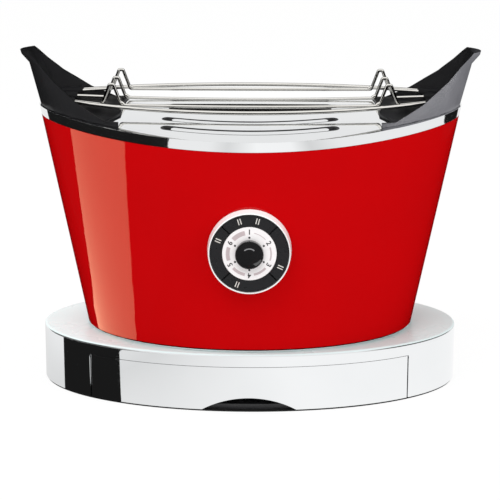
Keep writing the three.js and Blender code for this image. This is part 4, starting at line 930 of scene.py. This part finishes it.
# the key and side lamps light it all, the others wash one piece each; places and sizes in metres
lamps = {
    "keyLamp": {"place": (-0.6, -1.0, 1.5), "aim": (0, 0, 0.15), "size": (1.2, 1.2), "energy": 9},
    "sideLamp": {"place": (1.2, -0.9, 0.9), "aim": (0, 0, 0.15), "size": (0.8, 1.2), "energy": 5},
    "dialLamp": {"place": (0, -0.8, 0.9), "aim": (0, -0.1, 0.13), "size": (0.5, 0.5), "energy": 3.5,
                 "pieces": ["scaleFace"]},
    "bezelLamp": {"place": (0, -0.3, 0.9), "aim": (0, -0.1, 0.13), "size": (0.4, 0.4), "energy": 3.2,
                  "pieces": ["dialBezel"]},
    "baseLamp": {"place": (-0.5, 0.2, 1.2), "aim": (-0.1, 0, 0.05), "size": (0.8, 0.8), "energy": 6.5,
                 "pieces": ["baseChrome"]},
    "wingLamp": {"place": (0.9, -0.5, 0.1), "aim": (0.15, 0, 0.23), "size": (1, 1), "energy": 170,
                 "pieces": ["wing_right"]},
}


def greyAlong(tree, axis, steps, scale):
    # a grey in steps along one axis of the piece, between two places in metres
    coords = addNode(tree, "TexCoord", {}, {})
    parts = addNode(tree, "SeparateXYZ", {}, {"Vector": coords.outputs["Object"]})
    low, high = steps[0][0], steps[-1][0]
    place = addNode(tree, "MapRange", {"From Min": low * scale, "From Max": high * scale},
                    {"Value": parts.outputs[axis]})
    ramp = addNode(tree, "ValToRGB", {}, {"Fac": place.outputs["Result"]})
    while len(ramp.color_ramp.elements) < len(steps):
        ramp.color_ramp.elements.new(0.5)
    for element, (spot, _) in zip(ramp.color_ramp.elements, steps):
        element.position = (spot - low) / (high - low)
    for element, (_, white) in zip(ramp.color_ramp.elements, steps):
        element.color = (white, white, white, 1)
    return ramp.outputs["Color"]


def newGlow(piece, name):
    material = bpy.data.materials.new(name)
    material.use_nodes = True
    material.cycles.emission_sampling = "NONE"
    material.node_tree.nodes.clear()
    piece.data.materials.append(material)
    return material.node_tree


def mixShaders(tree, share, first, second):
    return addNode(tree, "MixShader", {}, {0: share, 1: first.outputs[0], 2: second.outputs[0]})


def makeFloor():
    freshStart()
    bpy.ops.mesh.primitive_plane_add(size=studio["floorSize"], location=(0, 0, 0))
    floor = settle(bpy.context.object, "studioFloor")
    tree = newGlow(floor, "studioPaper")
    path = addNode(tree, "LightPath", {}, {})
    mirrored = addNode(tree, "Emission", {}, {"Color": greyAlong(tree, "X", studio["floorAcross"], 1)})
    paper = addNode(tree, "BsdfDiffuse", {"Color": linearColour(studio["floorColour"])}, {})
    white = addNode(tree, "Emission", {"Color": (1, 1, 1, 1), "Strength": studio["paperGlow"]}, {})
    direct = addNode(tree, "MixShader", {0: studio["paperShare"]}, {1: white.outputs[0], 2: paper.outputs[0]})
    seen = mixShaders(tree, path.outputs["Is Camera Ray"], paper, direct)
    glossy = mixShaders(tree, path.outputs["Is Glossy Ray"], seen, mirrored)
    addNode(tree, "OutputMaterial", {}, {"Surface": glossy.outputs[0]})
    return floor


def onlyMirrored(piece):
    # seen in gloss alone, and lights nothing else
    piece.visible_camera = False
    piece.visible_diffuse = False
    piece.visible_transmission = False
    piece.visible_shadow = False


def makeDome():
    freshStart()
    bpy.ops.mesh.primitive_uv_sphere_add(segments=studio["domeSides"], ring_count=studio["domeRows"],
                                         radius=studio["domeRadius"])
    dome = settle(bpy.context.object, "studioDome")
    dome.data.shade_smooth()
    tree = newGlow(dome, "domeCloth")
    rise = greyAlong(tree, "Z", studio["domeRise"], studio["domeRadius"])
    across = greyAlong(tree, "X", studio["domeAcross"], studio["domeRadius"])
    both = addNode(tree, "Math", {"operation": "MULTIPLY"}, {0: rise, 1: across})
    glow = addNode(tree, "Emission", {"Color": (1, 1, 1, 1)}, {"Strength": both.outputs[0]})
    addNode(tree, "OutputMaterial", {}, {"Surface": glow.outputs[0]})
    onlyMirrored(dome)
    return dome


def makeCard(name, card):
    freshStart()
    bpy.ops.mesh.primitive_circle_add(vertices=len(card["corners"]), fill_type="NGON")
    piece = bpy.context.object
    for vertex, corner in zip(piece.data.vertices, card["corners"]):
        vertex.co = Vector(corner) * mm + Vector((0, middleY, 0))
    settle(piece, name)
    tree = newGlow(piece, name)
    glow = addNode(tree, "Emission", {"Color": linearColour(card["colour"]), "Strength": card["glow"]}, {})
    face = glow
    clear = addNode(tree, "BsdfTransparent", {}, {})
    if "pieces" in card:
        face = addNode(tree, "AddShader", {}, {0: glow.outputs[0], 1: clear.outputs[0]})
    if "oneSided" in card:
        side = addNode(tree, "NewGeometry", {}, {})
        face = mixShaders(tree, side.outputs["Backfacing"], glow, clear)
    addNode(tree, "OutputMaterial", {}, {"Surface": face.outputs[0]})
    onlyMirrored(piece)
    return piece


def linkLight(source, names, state):
    # INCLUDE: only the named pieces take this light; EXCLUDE: all but they do
    group = bpy.data.collections.new(source.name + "Link")
    for name in names:
        group.objects.link(bpy.data.objects[name])
    source.light_linking.receiver_collection = group
    for member in group.collection_objects:
        member.light_linking.link_state = state


def makeWorld():
    world = bpy.data.worlds.new("studioAir")
    bpy.context.scene.world = world
    world.use_nodes = True
    tree = world.node_tree
    back = tree.nodes["Background"]
    path = addNode(tree, "LightPath", {}, {})
    strength = addNode(tree, "MapRange", {"To Min": studio["worldLight"], "To Max": 1.0},
                       {"Value": path.outputs["Is Camera Ray"]})
    tree.links.new(strength.outputs["Result"], back.inputs["Strength"])
    back.inputs["Color"].default_value = (1, 1, 1, 1)
    world.cycles.sampling_method = "NONE"


def addLamp(name, settings):
    data = bpy.data.lights.new(name, "AREA")
    data.shape = "RECTANGLE"
    data.size, data.size_y = settings["size"]
    data.energy = settings["energy"]
    lamp = bpy.data.objects.new(name, data)
    bpy.context.scene.collection.objects.link(lamp)
    lamp.visible_glossy = False  # gloss mirrors the dome and the cards
    place, aim = Vector(settings["place"]), Vector(settings["aim"])
    lamp.matrix_world = Matrix.Translation(place) @ (aim - place).to_track_quat("-Z", "Y").to_matrix().to_4x4()
    return lamp


def makeStudio():
    linkLight(makeFloor(), redPieces + wirePieces + blackPieces, "EXCLUDE")
    linkLight(makeDome(), redPieces + wirePieces + blackPieces, "EXCLUDE")
    for name, card in cards.items():
        piece = makeCard(name, card)
        if "pieces" in card:
            linkLight(piece, card["pieces"], "INCLUDE")
    makeWorld()
    for name, settings in lamps.items():
        lamp = addLamp(name, settings)
        if "pieces" in settings:
            linkLight(lamp, settings["pieces"], "INCLUDE")


makeStudio()
bpy.context.scene.view_settings.view_transform = "Standard"
print("studio made")
